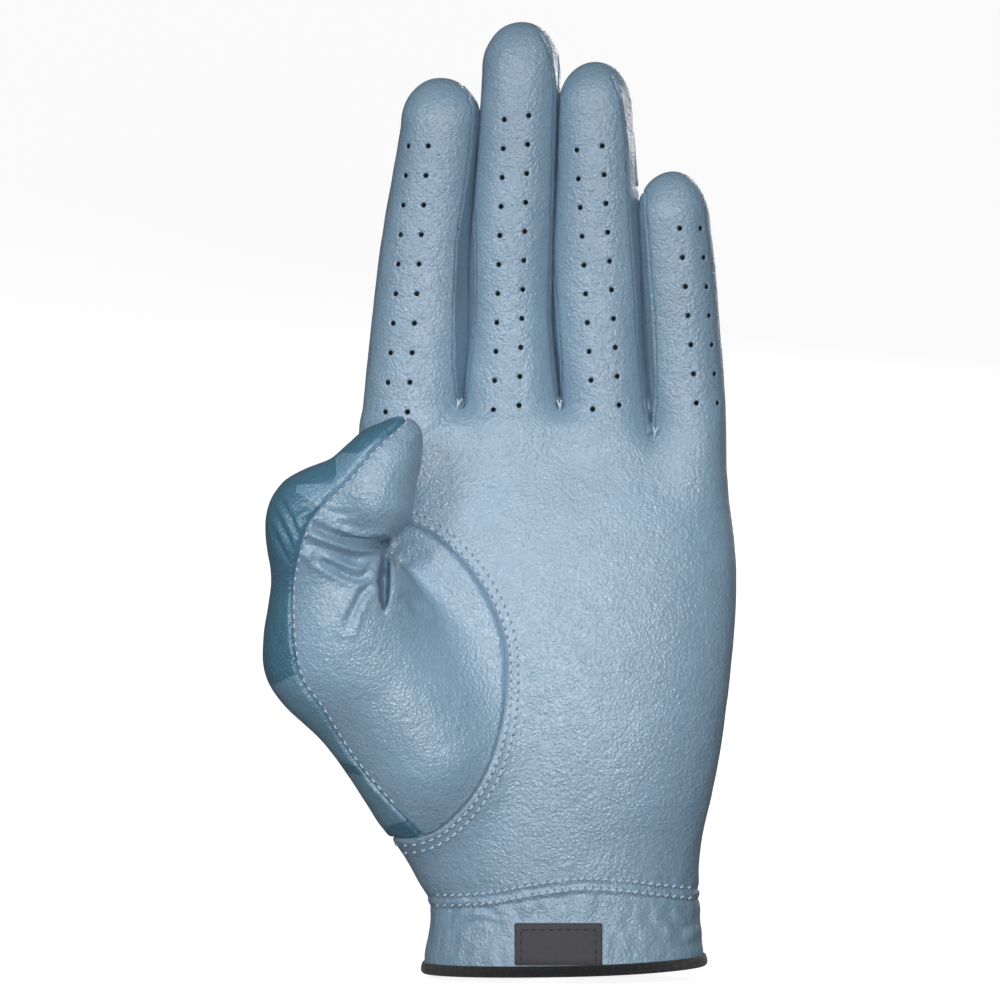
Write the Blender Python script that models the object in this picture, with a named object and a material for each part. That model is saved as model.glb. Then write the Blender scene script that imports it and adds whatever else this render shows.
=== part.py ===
"""Left-hand golf glove, built as its leather panels, gussets, trims and closure.

Frame: +Z runs from the wrist opening to the fingertips, -Y points out of the palm and -X towards the thumb.
The origin is the centre of the wrist opening, on the lower face of the hem binding.
Lengths and places below are in millimetres, and make_object turns them into metres.
"""

import math

import bmesh
import bpy
from mathutils import Vector

# ---------------------------------------------------------------- driving dimensions

LEATHER = 0.9  # wall of every leather panel
SEAM_GAP = 0.3  # clearance between two pieces that are sewn together
KNUCKLE_Z = 141.0  # height of the crease where the four fingers fold
FOLD_GAP = 0.4  # clearance on each side of a fold line
HEM_HEIGHT = 3.2  # height of the binding round the wrist opening
PANEL_FOOT = HEM_HEIGHT + SEAM_GAP

# Sections of the hand: height, thumb-side X, little-finger-side X, palm Y, back Y, squareness.
HAND_SECTIONS = [
    (0.0, -34.6, 34.6, -19.5, 19.5, 2.2),
    (19.0, -34.0, 32.8, -19.2, 19.0, 2.2),
    (33.0, -37.5, 33.5, -18.0, 17.0, 2.3),
    (55.0, -43.0, 38.4, -16.5, 15.5, 2.5),
    (80.0, -47.5, 41.4, -15.5, 14.5, 2.6),
    (105.0, -49.8, 42.1, -14.0, 13.5, 2.6),
    (125.0, -50.0, 40.8, -12.5, 12.0, 2.6),
    (142.0, -49.8, 39.8, -11.0, 11.0, 2.6),
]

# Each finger: X of its axis, half-width and half-depth at the knuckle, the same near the tip, and the tip's height.
# sewn_sides says which of its sides carry a fourchette, the strip between the palm and back leather.
FINGERS = {
    "index": {"base": (-37.2, 12.2, 9.6), "top": (-30.8, 9.5, 8.8), "tip_z": 221.2, "sewn_sides": ("little",)},
    "middle": {"base": (-12.6, 10.2, 9.7), "top": (-11.2, 9.5, 8.9), "tip_z": 234.5, "sewn_sides": ("thumb", "little")},
    "ring": {"base": (9.7, 10.0, 9.5), "top": (8.2, 9.4, 8.7), "tip_z": 224.9, "sewn_sides": ("thumb", "little")},
    "little": {"base": (31.0, 8.9, 8.6), "top": (27.3, 8.5, 7.9), "tip_z": 197.8, "sewn_sides": ("thumb",)},
}
FINGER_SQUARENESS = 2.3
TIP_CURL = -3.0  # Y of a fingertip's centre, from a hand at ease
CAP_SHARE = 1.25  # length of the rounded tip, in half-widths
FOURCHETTE_ANGLE = math.radians(34)  # half of the strip's opening angle at the knuckle
FOURCHETTE_END_ANGLE = math.radians(9)
SIDE_SEAM_ANGLE = math.radians(14)  # the outer side seams lie this far behind the silhouette

# The thumb is a bent tube drawn between four guide lines, from just inside the hand to the tip.
# One row for each station: inner, front, outer and back point.
THUMB_BASE_STATIONS = [
    ((-40.0, -7.0, 112.0), (-12.5, -12.6, 72.0), (-35.0, -5.5, 36.0), (-44.0, 4.0, 76.0)),
    ((-41.0, -15.5, 111.0), (-20.5, -23.5, 79.0), (-46.5, -9.5, 40.5), (-50.5, 2.5, 84.0)),
    ((-42.0, -19.5, 109.5), (-41.0, -31.5, 94.0), (-72.5, -12.0, 69.0), (-60.0, -2.0, 98.0)),
    ((-43.6, -22.0, 107.9), (-57.9, -33.5, 112.0), (-72.2, -22.0, 116.0), (-57.9, -10.8, 112.0)),
]
THUMB_TIP_STATIONS = [
    ((-43.3, -22.0, 108.9), (-57.6, -33.5, 113.0), (-71.9, -22.0, 117.0), (-57.6, -10.8, 113.0)),
    ((-35.4, -24.0, 122.0), (-47.5, -35.0, 124.5), (-60.0, -24.0, 127.5), (-47.0, -14.0, 124.5)),
    ((-35.0, -24.5, 134.0), (-40.0, -31.5, 135.5), (-44.5, -24.5, 137.6), (-39.5, -18.0, 135.5)),
    ((-37.0, -25.0, 138.0), (-38.0, -25.9, 138.5), (-39.4, -25.0, 138.6), (-38.0, -24.1, 138.5)),
]
THUMB_PRINT_SEAM = (math.radians(168), math.radians(128))  # plain to printed leather, at the hole and at the crease
THUMB_INNER_SEAM = math.radians(-62)

# The slit in the back of the cuff, and the tab that closes it.
SLIT_X = 5.0
SLIT_TOP_Z = 58.0
SLIT_HALF = (5.5, 2.4)  # half-width at the hem and at the top
SLIT_TAPE = 1.0  # half-width of the tape that binds the slit
TAB_Z = (25.0, 49.0)
TAB_FOLD_X = -12.0
TAB_ROOT_X = -21.0
TAB_END_X = 27.0
TAB_WALL = 1.0
PAD_WALL = 0.8
LOOP_PAD_X = (11.0, 27.5)
HOOK_PAD_X = (12.5, 25.0)

LABEL_X = (-12.3, 9.1)
LABEL_Z = (HEM_HEIGHT + SEAM_GAP, 13.5)
LABEL_WALL = 0.9
ELASTIC_Z = (18.6, 23.6)
ELASTIC_WALL = 0.7

MATERIALS = {
    "plain_leather": ((0.30, 0.42, 0.53), 0.42),
    "printed_leather": ((0.16, 0.34, 0.42), 0.42),
    "binding": ((0.012, 0.012, 0.014), 0.65),
    "label_rubber": ((0.03, 0.03, 0.035), 0.5),
    "elastic": ((0.55, 0.58, 0.60), 0.85),
    "hook_and_loop": ((0.03, 0.035, 0.04), 0.9),
}

MM = 0.001

# ---------------------------------------------------------------- shared helpers


def mix(a, b, share):
    return a + (b - a) * share


def spaced(start, end, count):
    """count numbers from start to end, evenly spaced."""
    return [mix(start, end, i / (count - 1)) for i in range(count)]


def smooth_row(table, at):
    """The values of a table's row at the given first value, on a smooth curve through its rows."""
    keys = [row[0] for row in table]
    at = min(max(at, keys[0]), keys[-1])
    i = min(max(k for k in range(len(keys)) if keys[k] <= at), len(keys) - 2)
    span = keys[i + 1] - keys[i]
    share = (at - keys[i]) / span

    def slope(k, column):
        low, high = max(k - 1, 0), min(k + 1, len(keys) - 1)
        return (table[high][column] - table[low][column]) / (keys[high] - keys[low])

    values = []
    for column in range(1, len(table[0])):
        start, end = table[i][column], table[i + 1][column]
        rise = slope(i, column) * span
        fall = slope(i + 1, column) * span
        square, cube = share**2, share**3
        value = (2 * cube - 3 * square + 1) * start + (cube - 2 * square + share) * rise
        value += (3 * square - 2 * cube) * end + (cube - square) * fall
        values.append(value)
    return values


def oval(angle, half_width, half_depth, squareness):
    """A point on a superellipse. Angle 0 is +X and 90 degrees is +Y."""
    power = 2 / squareness
    across = math.copysign(abs(math.cos(angle)) ** power, math.cos(angle))
    deep = math.copysign(abs(math.sin(angle)) ** power, math.sin(angle))
    return half_width * across, half_depth * deep


def material(name):
    found = bpy.data.materials.get(name)
    if found:
        return found
    colour, roughness = MATERIALS[name]
    made = bpy.data.materials.new(name)
    made.use_nodes = True
    shader = made.node_tree.nodes["Principled BSDF"]
    shader.inputs["Base Color"].default_value = (*colour, 1.0)
    shader.inputs["Roughness"].default_value = roughness
    shader.inputs["Metallic"].default_value = 0.0
    return made


def make_object(name, points, faces, material_name, pivot=(0.0, 0.0, 0.0)):
    """An object from points in millimetres, with its origin at pivot and its faces pointing out."""
    origin = Vector(pivot)
    mesh = bpy.data.meshes.new(name)
    mesh.from_pydata([(Vector(p) - origin) * MM for p in points], [], faces)
    shape = bmesh.new()
    shape.from_mesh(mesh)
    bmesh.ops.recalc_face_normals(shape, faces=shape.faces)
    shape.to_mesh(mesh)
    shape.free()
    mesh.shade_smooth()
    mesh.set_sharp_from_angle(angle=math.radians(40))
    obj = bpy.data.objects.new(name, mesh)
    obj.location = origin * MM
    bpy.context.scene.collection.objects.link(obj)
    if material_name:
        mesh.materials.append(material(material_name))
    return obj


def panel(name, point, rows, columns, wall, material_name, pivot=(0.0, 0.0, 0.0)):
    """A closed sheet. point(row, column, inset) gives its outer face at inset 0 and its inner face at inset wall."""
    wide = len(columns)
    points = [point(r, c, 0.0) for r in rows for c in columns]
    inner = len(points)
    points += [point(r, c, wall) for r in rows for c in columns]
    faces = []
    for i in range(len(rows) - 1):
        for j in range(wide - 1):
            quad = [i * wide + j, i * wide + j + 1, (i + 1) * wide + j + 1, (i + 1) * wide + j]
            faces.append(quad)
            faces.append([inner + k for k in reversed(quad)])
    rim = list(range(wide))
    rim += [i * wide + wide - 1 for i in range(1, len(rows))]
    rim += [(len(rows) - 1) * wide + j for j in range(wide - 2, -1, -1)]
    rim += [i * wide for i in range(len(rows) - 2, 0, -1)]
    for a, b in zip(rim, rim[1:] + rim[:1]):
        faces.append([b, a, inner + a, inner + b])
    return make_object(name, points, faces, material_name, pivot)


def sweep(name, path, section, material_name):
    """A closed bar. path holds (place, out, up) and section holds offsets along out and up."""
    points = []
    for place, out, up in path:
        points += [place + out * across + up * along for across, along in section]
    count = len(section)
    faces = [list(range(count)), list(range(len(points) - count, len(points)))]
    for i in range(len(path) - 1):
        for k in range(count):
            a, b = i * count + k, i * count + (k + 1) % count
            faces.append([a, b, b + count, a + count])
    return make_object(name, points, faces, material_name)


def cutter(name, rings):
    """A solid that only cuts, skinned over rings of points."""
    count = len(rings[0])
    faces = [list(range(count)), list(range((len(rings) - 1) * count, len(rings) * count))]
    for i in range(len(rings) - 1):
        for k in range(count):
            a, b = i * count + k, i * count + (k + 1) % count
            faces.append([a, b, b + count, a + count])
    obj = make_object(name, [p for ring in rings for p in ring], faces, None)
    obj.hide_render = True
    obj.display_type = "WIRE"
    return obj


def cut(target, tool):
    modifier = target.modifiers.new(tool.name, "BOOLEAN")
    modifier.operation = "DIFFERENCE"
    modifier.object = tool


# ---------------------------------------------------------------- palm, back and cuff


def hand_point(z, angle, inset):
    """A point on the hand's skin at height z. A positive inset moves it into the hand."""
    left, right, front, back, squareness = smooth_row(HAND_SECTIONS, z)
    across, deep = oval(angle, (right - left) / 2 - inset, (back - front) / 2 - inset, squareness)
    return Vector(((left + right) / 2 + across, (front + back) / 2 + deep, z))


def angle_at(z, x, behind):
    """The angle at which the skin is at x, on the back of the hand if behind is true."""
    left, right, _, _, squareness = smooth_row(HAND_SECTIONS, z)
    share = (x - (left + right) / 2) / ((right - left) / 2)
    angle = math.acos(math.copysign(abs(share) ** (squareness / 2), share))
    return angle if behind else 2 * math.pi - angle


def add_hand_panels():
    rows = spaced(PANEL_FOOT, KNUCKLE_Z - FOLD_GAP, 14)
    halves = {
        "palm_panel": (math.pi - SIDE_SEAM_ANGLE, 2 * math.pi + SIDE_SEAM_ANGLE),
        "back_panel": (SIDE_SEAM_ANGLE, math.pi - SIDE_SEAM_ANGLE),
    }
    slack = 0.012  # half of the seam gap, as an angle
    made = {}
    for name, (start, end) in halves.items():
        leather = "plain_leather" if name == "palm_panel" else "printed_leather"
        made[name] = panel(name, hand_point, rows, spaced(start + slack, end - slack, 17), LEATHER, leather)
    hole = thumb_hole_cutter()
    cut(made["palm_panel"], hole)
    cut(made["back_panel"], hole)
    cut(made["back_panel"], slit_cutter())


def thumb_hole_cutter():
    """The thumb's own shape, one seam gap larger, so the hole follows the seam."""
    last = len(THUMB_BASE_STATIONS) - 1
    turns = [2 * math.pi * k / 28 for k in range(28)]
    inward = Vector((2.0, 2.4, 0.0))
    rings = [[thumb_point(THUMB_BASE_STATIONS, 0.0, turn, -SEAM_GAP) + inward for turn in turns]]
    for at in spaced(0.0, last, 13):
        rings.append([thumb_point(THUMB_BASE_STATIONS, at, turn, -SEAM_GAP) for turn in turns])
    return cutter("thumb_hole", rings)


def add_hem_binding():
    section = [(-1.0, 0.0), (1.0, 0.0), (1.7, 0.8), (1.7, 2.4), (1.0, HEM_HEIGHT)]
    section += [(-1.0, HEM_HEIGHT), (-1.7, 2.4), (-1.7, 0.8)]
    start = angle_at(0.0, SLIT_X - SLIT_HALF[0] - 1.0, True)
    end = angle_at(0.0, SLIT_X + SLIT_HALF[0] + 1.0, True) + 2 * math.pi
    path = []
    for angle in spaced(start, end, 57):
        place = hand_point(0.0, angle, LEATHER / 2)
        out = hand_point(0.0, angle, -1.0) - hand_point(0.0, angle, 0.0)
        path.append((place, out.normalized(), Vector((0, 0, 1))))
    sweep("hem_binding", path, section, "binding")


def add_wrist_label():
    middle = sum(LABEL_X) / 2

    def point(z, x, inset):
        angle = angle_at(z, x, False)
        return hand_point(z, angle, inset - LABEL_WALL - SEAM_GAP)

    columns = [middle + (x - middle) for x in spaced(*LABEL_X, 9)]
    panel("wrist_label", point, spaced(*LABEL_Z, 3), columns, LABEL_WALL, "label_rubber")


def add_wrist_elastic():
    def point(z, angle, inset):
        return hand_point(z, angle, inset + LEATHER + SEAM_GAP)

    columns = spaced(math.pi + 0.35, 2 * math.pi - 0.35, 15)
    panel("wrist_elastic", point, spaced(*ELASTIC_Z, 3), columns, ELASTIC_WALL, "elastic")


# ---------------------------------------------------------------- slit and closure tab


def slit_edge(grow):
    """The slit's edge as (x, z) points, from the hem up one side, round the top and down. grow widens it."""
    foot, head = SLIT_HALF[0] + grow, SLIT_HALF[1] + grow
    arch = SLIT_TOP_Z - SLIT_HALF[1]
    side = [(mix(foot, head, z / arch), z) for z in spaced(0.0, arch, 9)]
    top = [(head * math.cos(a), arch + head * math.sin(a)) for a in spaced(0.0, math.pi, 9)[1:-1]]
    points = side + top + [(-x, z) for x, z in reversed(side)]
    return [(SLIT_X + x, z) for x, z in points]


def slit_cutter():
    below = Vector((0.0, 0.0, -4.0))
    outline = [Vector((x, 5.0, z)) for x, z in slit_edge(SLIT_TAPE + SEAM_GAP)]
    outline = [outline[0] + below] + outline + [outline[-1] + below]
    return cutter("slit", [outline, [p + Vector((0.0, 30.0, 0.0)) for p in outline]])


def add_slit_binding():
    half = SLIT_TAPE
    section = [(-1.2, -half * 0.6), (-0.6, -half), (0.6, -half), (1.2, -half * 0.6)]
    section += [(1.2, half * 0.6), (0.6, half), (-0.6, half), (-1.2, half * 0.6)]
    edge = [p for p in slit_edge(0.0) if p[1] >= PANEL_FOOT - 0.01]
    edge = [(mix(SLIT_X + SLIT_HALF[0], SLIT_X + SLIT_HALF[1], PANEL_FOOT / SLIT_TOP_Z), PANEL_FOOT)] + edge
    edge += [(2 * SLIT_X - edge[0][0], PANEL_FOOT)]
    places = [hand_point(z, angle_at(z, x, True), LEATHER / 2) for x, z in edge]
    path = []
    for k, place in enumerate(places):
        tangent = (places[min(k + 1, len(places) - 1)] - places[max(k - 1, 0)]).normalized()
        out = Vector((0, 1, 0))
        path.append((place, out, tangent.cross(out).normalized()))
    sweep("slit_binding", path, section, "binding")


def lifted_back(lift):
    """point(share of width, x, inset) on the back of the cuff, lift above the leather, within the tab's height."""

    def point(share, x, inset):
        low, high = tab_limits(x)
        z = mix(low, high, share)
        return hand_point(z, angle_at(z, x, True), inset - lift)

    return point


def tab_limits(x):
    """The tab's lowest and highest z at x: a strap with a rounded free end."""
    low, high = TAB_Z
    half = (high - low) / 2
    past = max(0.0, (x - (TAB_END_X - half)) / half)
    reach = half * math.sqrt(max(0.0, 1 - past**2.4))
    return (low + high) / 2 - max(reach, 2.5), (low + high) / 2 + max(reach, 2.5)


def add_closure():
    loop_lift = SEAM_GAP + PAD_WALL
    hook_lift = loop_lift + SEAM_GAP + PAD_WALL
    tab_lift = hook_lift + SEAM_GAP + TAB_WALL
    across = spaced(0.0, 1.0, 5)
    inner = spaced(0.12, 0.88, 4)
    pivot = tab_axis(tab_lift)
    panel("loop_pad", lifted_back(loop_lift), inner, spaced(*LOOP_PAD_X, 8), PAD_WALL, "hook_and_loop")
    panel("hook_pad", lifted_back(hook_lift), inner, spaced(*HOOK_PAD_X, 7), PAD_WALL, "hook_and_loop", pivot)
    moving = spaced(TAB_FOLD_X + FOLD_GAP, TAB_END_X - 3.0, 11) + [TAB_END_X - 1.2, TAB_END_X]
    panel("closure_tab", lifted_back(tab_lift), across, moving, TAB_WALL, "printed_leather", pivot)
    sewn = spaced(TAB_ROOT_X, TAB_FOLD_X - FOLD_GAP, 4)
    panel("tab_root", lifted_back(tab_lift), across, sewn, TAB_WALL, "printed_leather")


def tab_axis(lift):
    """A point on the tab's fold line, on its outer face."""
    z = sum(TAB_Z) / 2
    return hand_point(z, angle_at(z, TAB_FOLD_X, True), -lift)


# ---------------------------------------------------------------- fingers


def finger_point(finger, z, angle, inset):
    """A point on a finger's skin. Heights within the rounded tip are measured on its outer face."""
    base, top, tip_z = finger["base"], finger["top"], finger["tip_z"]
    cap = top[1] * CAP_SHARE
    shoulder = tip_z - cap
    share = min((z - KNUCKLE_Z) / (shoulder - KNUCKLE_Z), 1.0)
    x, half_width, half_depth = (mix(b, t, share) for b, t in zip(base, top))
    y = TIP_CURL * share**2
    if z > shoulder:
        rise = (z - shoulder) / cap
        shrink = math.sqrt(max(0.0, 1 - rise**2))
        z = shoulder + (cap - inset) * rise
        width = max((half_width - inset) * shrink, 1.6 - inset)
        depth = max((half_depth - inset) * shrink, 0.02)
    else:
        width, depth = half_width - inset, half_depth - inset
    across, deep = oval(angle, width, depth, FINGER_SQUARENESS)
    return Vector((x + across, y + deep, z))


def fourchette_angle(finger, z):
    """Half of the opening angle of the strip at height z, or 0 above its end."""
    end = fourchette_end(finger)
    if z > end:
        return 0.0
    share = (z - KNUCKLE_Z) / (end - KNUCKLE_Z)
    return mix(FOURCHETTE_ANGLE, FOURCHETTE_END_ANGLE, max(share, 0.0))


def fourchette_end(finger):
    return finger["tip_z"] - finger["top"][1] * CAP_SHARE - 1.0


def side_angle(finger, side, z):
    """How far from the silhouette a side's panel edge lies, and whether that is a side seam."""
    if side in finger["sewn_sides"]:
        return fourchette_angle(finger, z)
    return None


def add_finger(name, finger):
    pivot = (finger["base"][0], hinge_y(), KNUCKLE_Z)
    end = fourchette_end(finger)
    tip_z = finger["tip_z"]
    shoulder = tip_z - finger["top"][1] * CAP_SHARE
    cap = tip_z - shoulder
    rows = spaced(KNUCKLE_Z + FOLD_GAP, end, 7) + [end + 0.5]
    rows += [shoulder + cap * math.sin(a) for a in spaced(0.25, math.pi / 2, 6)]
    half_gap = SEAM_GAP / 2

    def half(facing):
        """The palm half where facing is -1, and the back half where it is 1."""

        def point(z, share, inset):
            thumb_side = side_angle(finger, "thumb", z)
            little_side = side_angle(finger, "little", z)
            if thumb_side is None:
                thumb_side = facing * SIDE_SEAM_ANGLE
            if little_side is None:
                little_side = facing * SIDE_SEAM_ANGLE
            if facing < 0:
                angle = mix(math.pi + thumb_side, 2 * math.pi - little_side, share)
            else:
                angle = mix(math.pi - thumb_side, little_side, share)
            return finger_point(finger, z, angle, inset) + Vector((0, facing * half_gap, 0))

        return point

    columns = spaced(0.0, 1.0, 10)
    panel(f"{name}_palm_side", half(-1), rows, columns, LEATHER, "plain_leather", pivot)
    panel(f"{name}_back", half(1), rows, columns, LEATHER, "printed_leather", pivot)
    for side in finger["sewn_sides"]:
        middle = math.pi if side == "thumb" else 0.0

        def strip(z, share, inset, middle=middle):
            slack = half_gap / (finger["top"][2] * 0.8)
            reach = fourchette_angle(finger, z) - slack
            return finger_point(finger, z, middle + reach * share, inset)

        strip_rows = spaced(KNUCKLE_Z + FOLD_GAP, end - 0.6, 6)
        label = f"{name}_fourchette_{side}_side"
        panel(label, strip, strip_rows, spaced(-1.0, 1.0, 4), LEATHER, "plain_leather", pivot)


def hinge_y():
    """The fingers fold on a line just in front of their palm side."""
    return -max(f["base"][2] for f in FINGERS.values()) - 0.3


def add_web_gussets():
    """The small strips that close the bottom of the gap between two fingers."""
    names = list(FINGERS)
    for near, far in zip(names, names[1:]):
        start = FINGERS[near]["base"][0] + FINGERS[near]["base"][1]
        end = FINGERS[far]["base"][0] - FINGERS[far]["base"][1]
        half_depth = min(FINGERS[near]["base"][2], FINGERS[far]["base"][2]) - 0.6

        def point(y, x, inset, half_depth=half_depth):
            sag = 1.2 * (1 - (y / half_depth) ** 2)
            return Vector((x, y, KNUCKLE_Z - FOLD_GAP - sag - inset))

        columns = [start + SEAM_GAP, end - SEAM_GAP]
        panel(f"web_gusset_{near}_{far}", point, spaced(-half_depth, half_depth, 7), columns, LEATHER, "plain_leather")


# ---------------------------------------------------------------- thumb


def guide(stations, at, corner):
    """A point on one guide line of the thumb, at a share of its stations."""
    table = [(k, *station[corner]) for k, station in enumerate(stations)]
    return Vector(smooth_row(table, at))


def thumb_point(stations, at, turn, inset):
    """A point on the thumb's skin. Turn 0 is its inner line, 90 degrees its front and 180 its outer line."""
    inner, front, outer, back = (guide(stations, at, corner) for corner in range(4))
    centre = (inner + front + outer + back) / 4
    cosine, sine = math.cos(turn), math.sin(turn)
    place = centre + (inner - outer) / 2 * cosine + (front - back) / 2 * sine
    place += ((inner + outer) / 2 - centre) * cosine**2 + ((front + back) / 2 - centre) * sine**2
    return place + (centre - place).normalized() * inset


def add_thumb():
    pivot = THUMB_BASE_STATIONS[-1][2]
    parts = {
        "thumb_base": (THUMB_BASE_STATIONS, 13, THUMB_PRINT_SEAM, (0.0, 0.0, 0.0)),
        "thumb_tip": (THUMB_TIP_STATIONS, 11, (THUMB_PRINT_SEAM[1],) * 2, pivot),
    }
    for name, (stations, count, seam, origin) in parts.items():
        last = len(stations) - 1
        rows = spaced(0.0, last, count)

        def edges(at, seam=seam, last=last):
            return mix(seam[0], seam[1], at / last)

        def gap_angle(stations, at):
            inner, outer = guide(stations, at, 0), guide(stations, at, 2)
            return SEAM_GAP / (inner - outer).length * 1.6

        def front(at, share, inset, stations=stations, edges=edges):
            slack = gap_angle(stations, at)
            turn = mix(THUMB_INNER_SEAM + slack, edges(at) - slack, share)
            return thumb_point(stations, at, turn, inset)

        def back(at, share, inset, stations=stations, edges=edges):
            slack = gap_angle(stations, at)
            turn = mix(edges(at) + slack, THUMB_INNER_SEAM + 2 * math.pi - slack, share)
            return thumb_point(stations, at, turn, inset)

        columns = spaced(0.0, 1.0, 10)
        panel(f"{name}_palm_side", front, rows, columns, LEATHER, "plain_leather", origin)
        panel(f"{name}_back", back, rows, columns, LEATHER, "printed_leather", origin)


# ---------------------------------------------------------------- build


def main():
    for obj in list(bpy.data.objects):
        bpy.data.objects.remove(obj)
    add_hand_panels()
    add_hem_binding()
    add_wrist_label()
    add_wrist_elastic()
    add_slit_binding()
    add_closure()
    for name, finger in FINGERS.items():
        add_finger(name, finger)
    add_web_gussets()
    add_thumb()


main()
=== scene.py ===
"""The looks of the golf glove: leather skin, seams, stitches, trims, lights and camera.

Shapes are worked out in millimetres in the frame of the CAD part: +Z to the fingertips, -Y out of the
palm, -X towards the thumb. mesh_object turns them into metres. Places called seen are (x, z) points on
the plane y = 0 as the camera sees them, and on_front finds the leather behind or in front of them.
"""

import math

import bpy
import numpy as np
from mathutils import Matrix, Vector, kdtree


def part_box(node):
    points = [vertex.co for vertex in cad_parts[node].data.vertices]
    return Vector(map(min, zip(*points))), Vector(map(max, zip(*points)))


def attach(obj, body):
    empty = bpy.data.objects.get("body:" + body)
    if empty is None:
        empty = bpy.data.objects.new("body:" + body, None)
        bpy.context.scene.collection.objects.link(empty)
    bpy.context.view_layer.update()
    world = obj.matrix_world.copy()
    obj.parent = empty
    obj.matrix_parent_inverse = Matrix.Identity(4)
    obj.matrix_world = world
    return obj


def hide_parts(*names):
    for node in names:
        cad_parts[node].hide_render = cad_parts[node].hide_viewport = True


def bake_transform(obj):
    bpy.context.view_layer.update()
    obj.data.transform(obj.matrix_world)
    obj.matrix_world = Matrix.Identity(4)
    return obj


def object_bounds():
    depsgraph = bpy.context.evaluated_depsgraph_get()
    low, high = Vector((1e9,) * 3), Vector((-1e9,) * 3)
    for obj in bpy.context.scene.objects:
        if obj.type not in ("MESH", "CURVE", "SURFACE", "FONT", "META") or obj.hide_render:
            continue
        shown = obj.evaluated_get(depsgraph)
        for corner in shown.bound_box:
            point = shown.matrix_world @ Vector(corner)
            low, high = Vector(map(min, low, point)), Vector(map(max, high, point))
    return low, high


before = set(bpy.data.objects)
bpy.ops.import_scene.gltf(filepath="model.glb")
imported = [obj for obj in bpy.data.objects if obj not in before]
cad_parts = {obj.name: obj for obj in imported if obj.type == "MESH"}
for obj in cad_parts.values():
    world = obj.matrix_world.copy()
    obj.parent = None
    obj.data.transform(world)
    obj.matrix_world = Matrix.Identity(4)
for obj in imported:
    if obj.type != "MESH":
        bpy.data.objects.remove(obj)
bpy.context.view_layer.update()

MM = 0.001

# ---------------------------------------------------------------- camera place, needed by everything seen

CAMERA_DISTANCE = 1250.0
CAMERA = np.array([-16.0, -CAMERA_DISTANCE, 117.7])
FRAME_WIDTH = 246.3  # millimetres that the picture spans on the plane y = 0

# ---------------------------------------------------------------- driving dimensions

CELL = 0.6  # size of the mesh cells of the leather
LEATHER = 0.7
FINGER_CUT = 143.0  # above this height each finger is a piece of its own
SQUEEZE = 0.35  # how far neighbouring fingers press into each other
FOOT = 2.2  # the leather ends here, inside the hem binding
HOLE_RADIUS = 0.62
SLIT_X = 5.0
SLIT_TOP = 55.6
SLIT_HALF = (5.5, 2.4)

# The hand without fingers or thumb: height, left X, right X, front Y, back Y, squareness.
HAND = [
    (-4.0, -34.6, 34.4, -19.0, 19.2, 2.2),
    (5.0, -34.5, 34.1, -18.2, 18.8, 2.2),
    (19.0, -33.6, 33.0, -16.8, 18.0, 2.2),
    (26.0, -37.2, 33.0, -17.2, 17.4, 2.2),
    (33.0, -40.2, 33.6, -17.6, 17.0, 2.2),
    (46.0, -43.6, 36.3, -18.6, 16.0, 2.3),
    (60.0, -46.5, 38.9, -19.2, 15.5, 2.3),
    (78.0, -48.0, 41.1, -18.8, 14.8, 2.3),
    (95.0, -49.4, 42.0, -17.2, 14.0, 2.4),
    (113.0, -49.8, 41.0, -14.4, 13.2, 2.4),
    (130.0, -48.4, 37.4, -10.6, 11.0, 2.4),
    (145.0, -48.0, 37.0, -8.2, 9.0, 2.4),
]
PALM_TOP = [(-60.0, 140.2), (-26.0, 140.0), (0.0, 139.6), (14.0, 136.5), (22.0, 133.0), (45.0, 132.5)]

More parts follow.
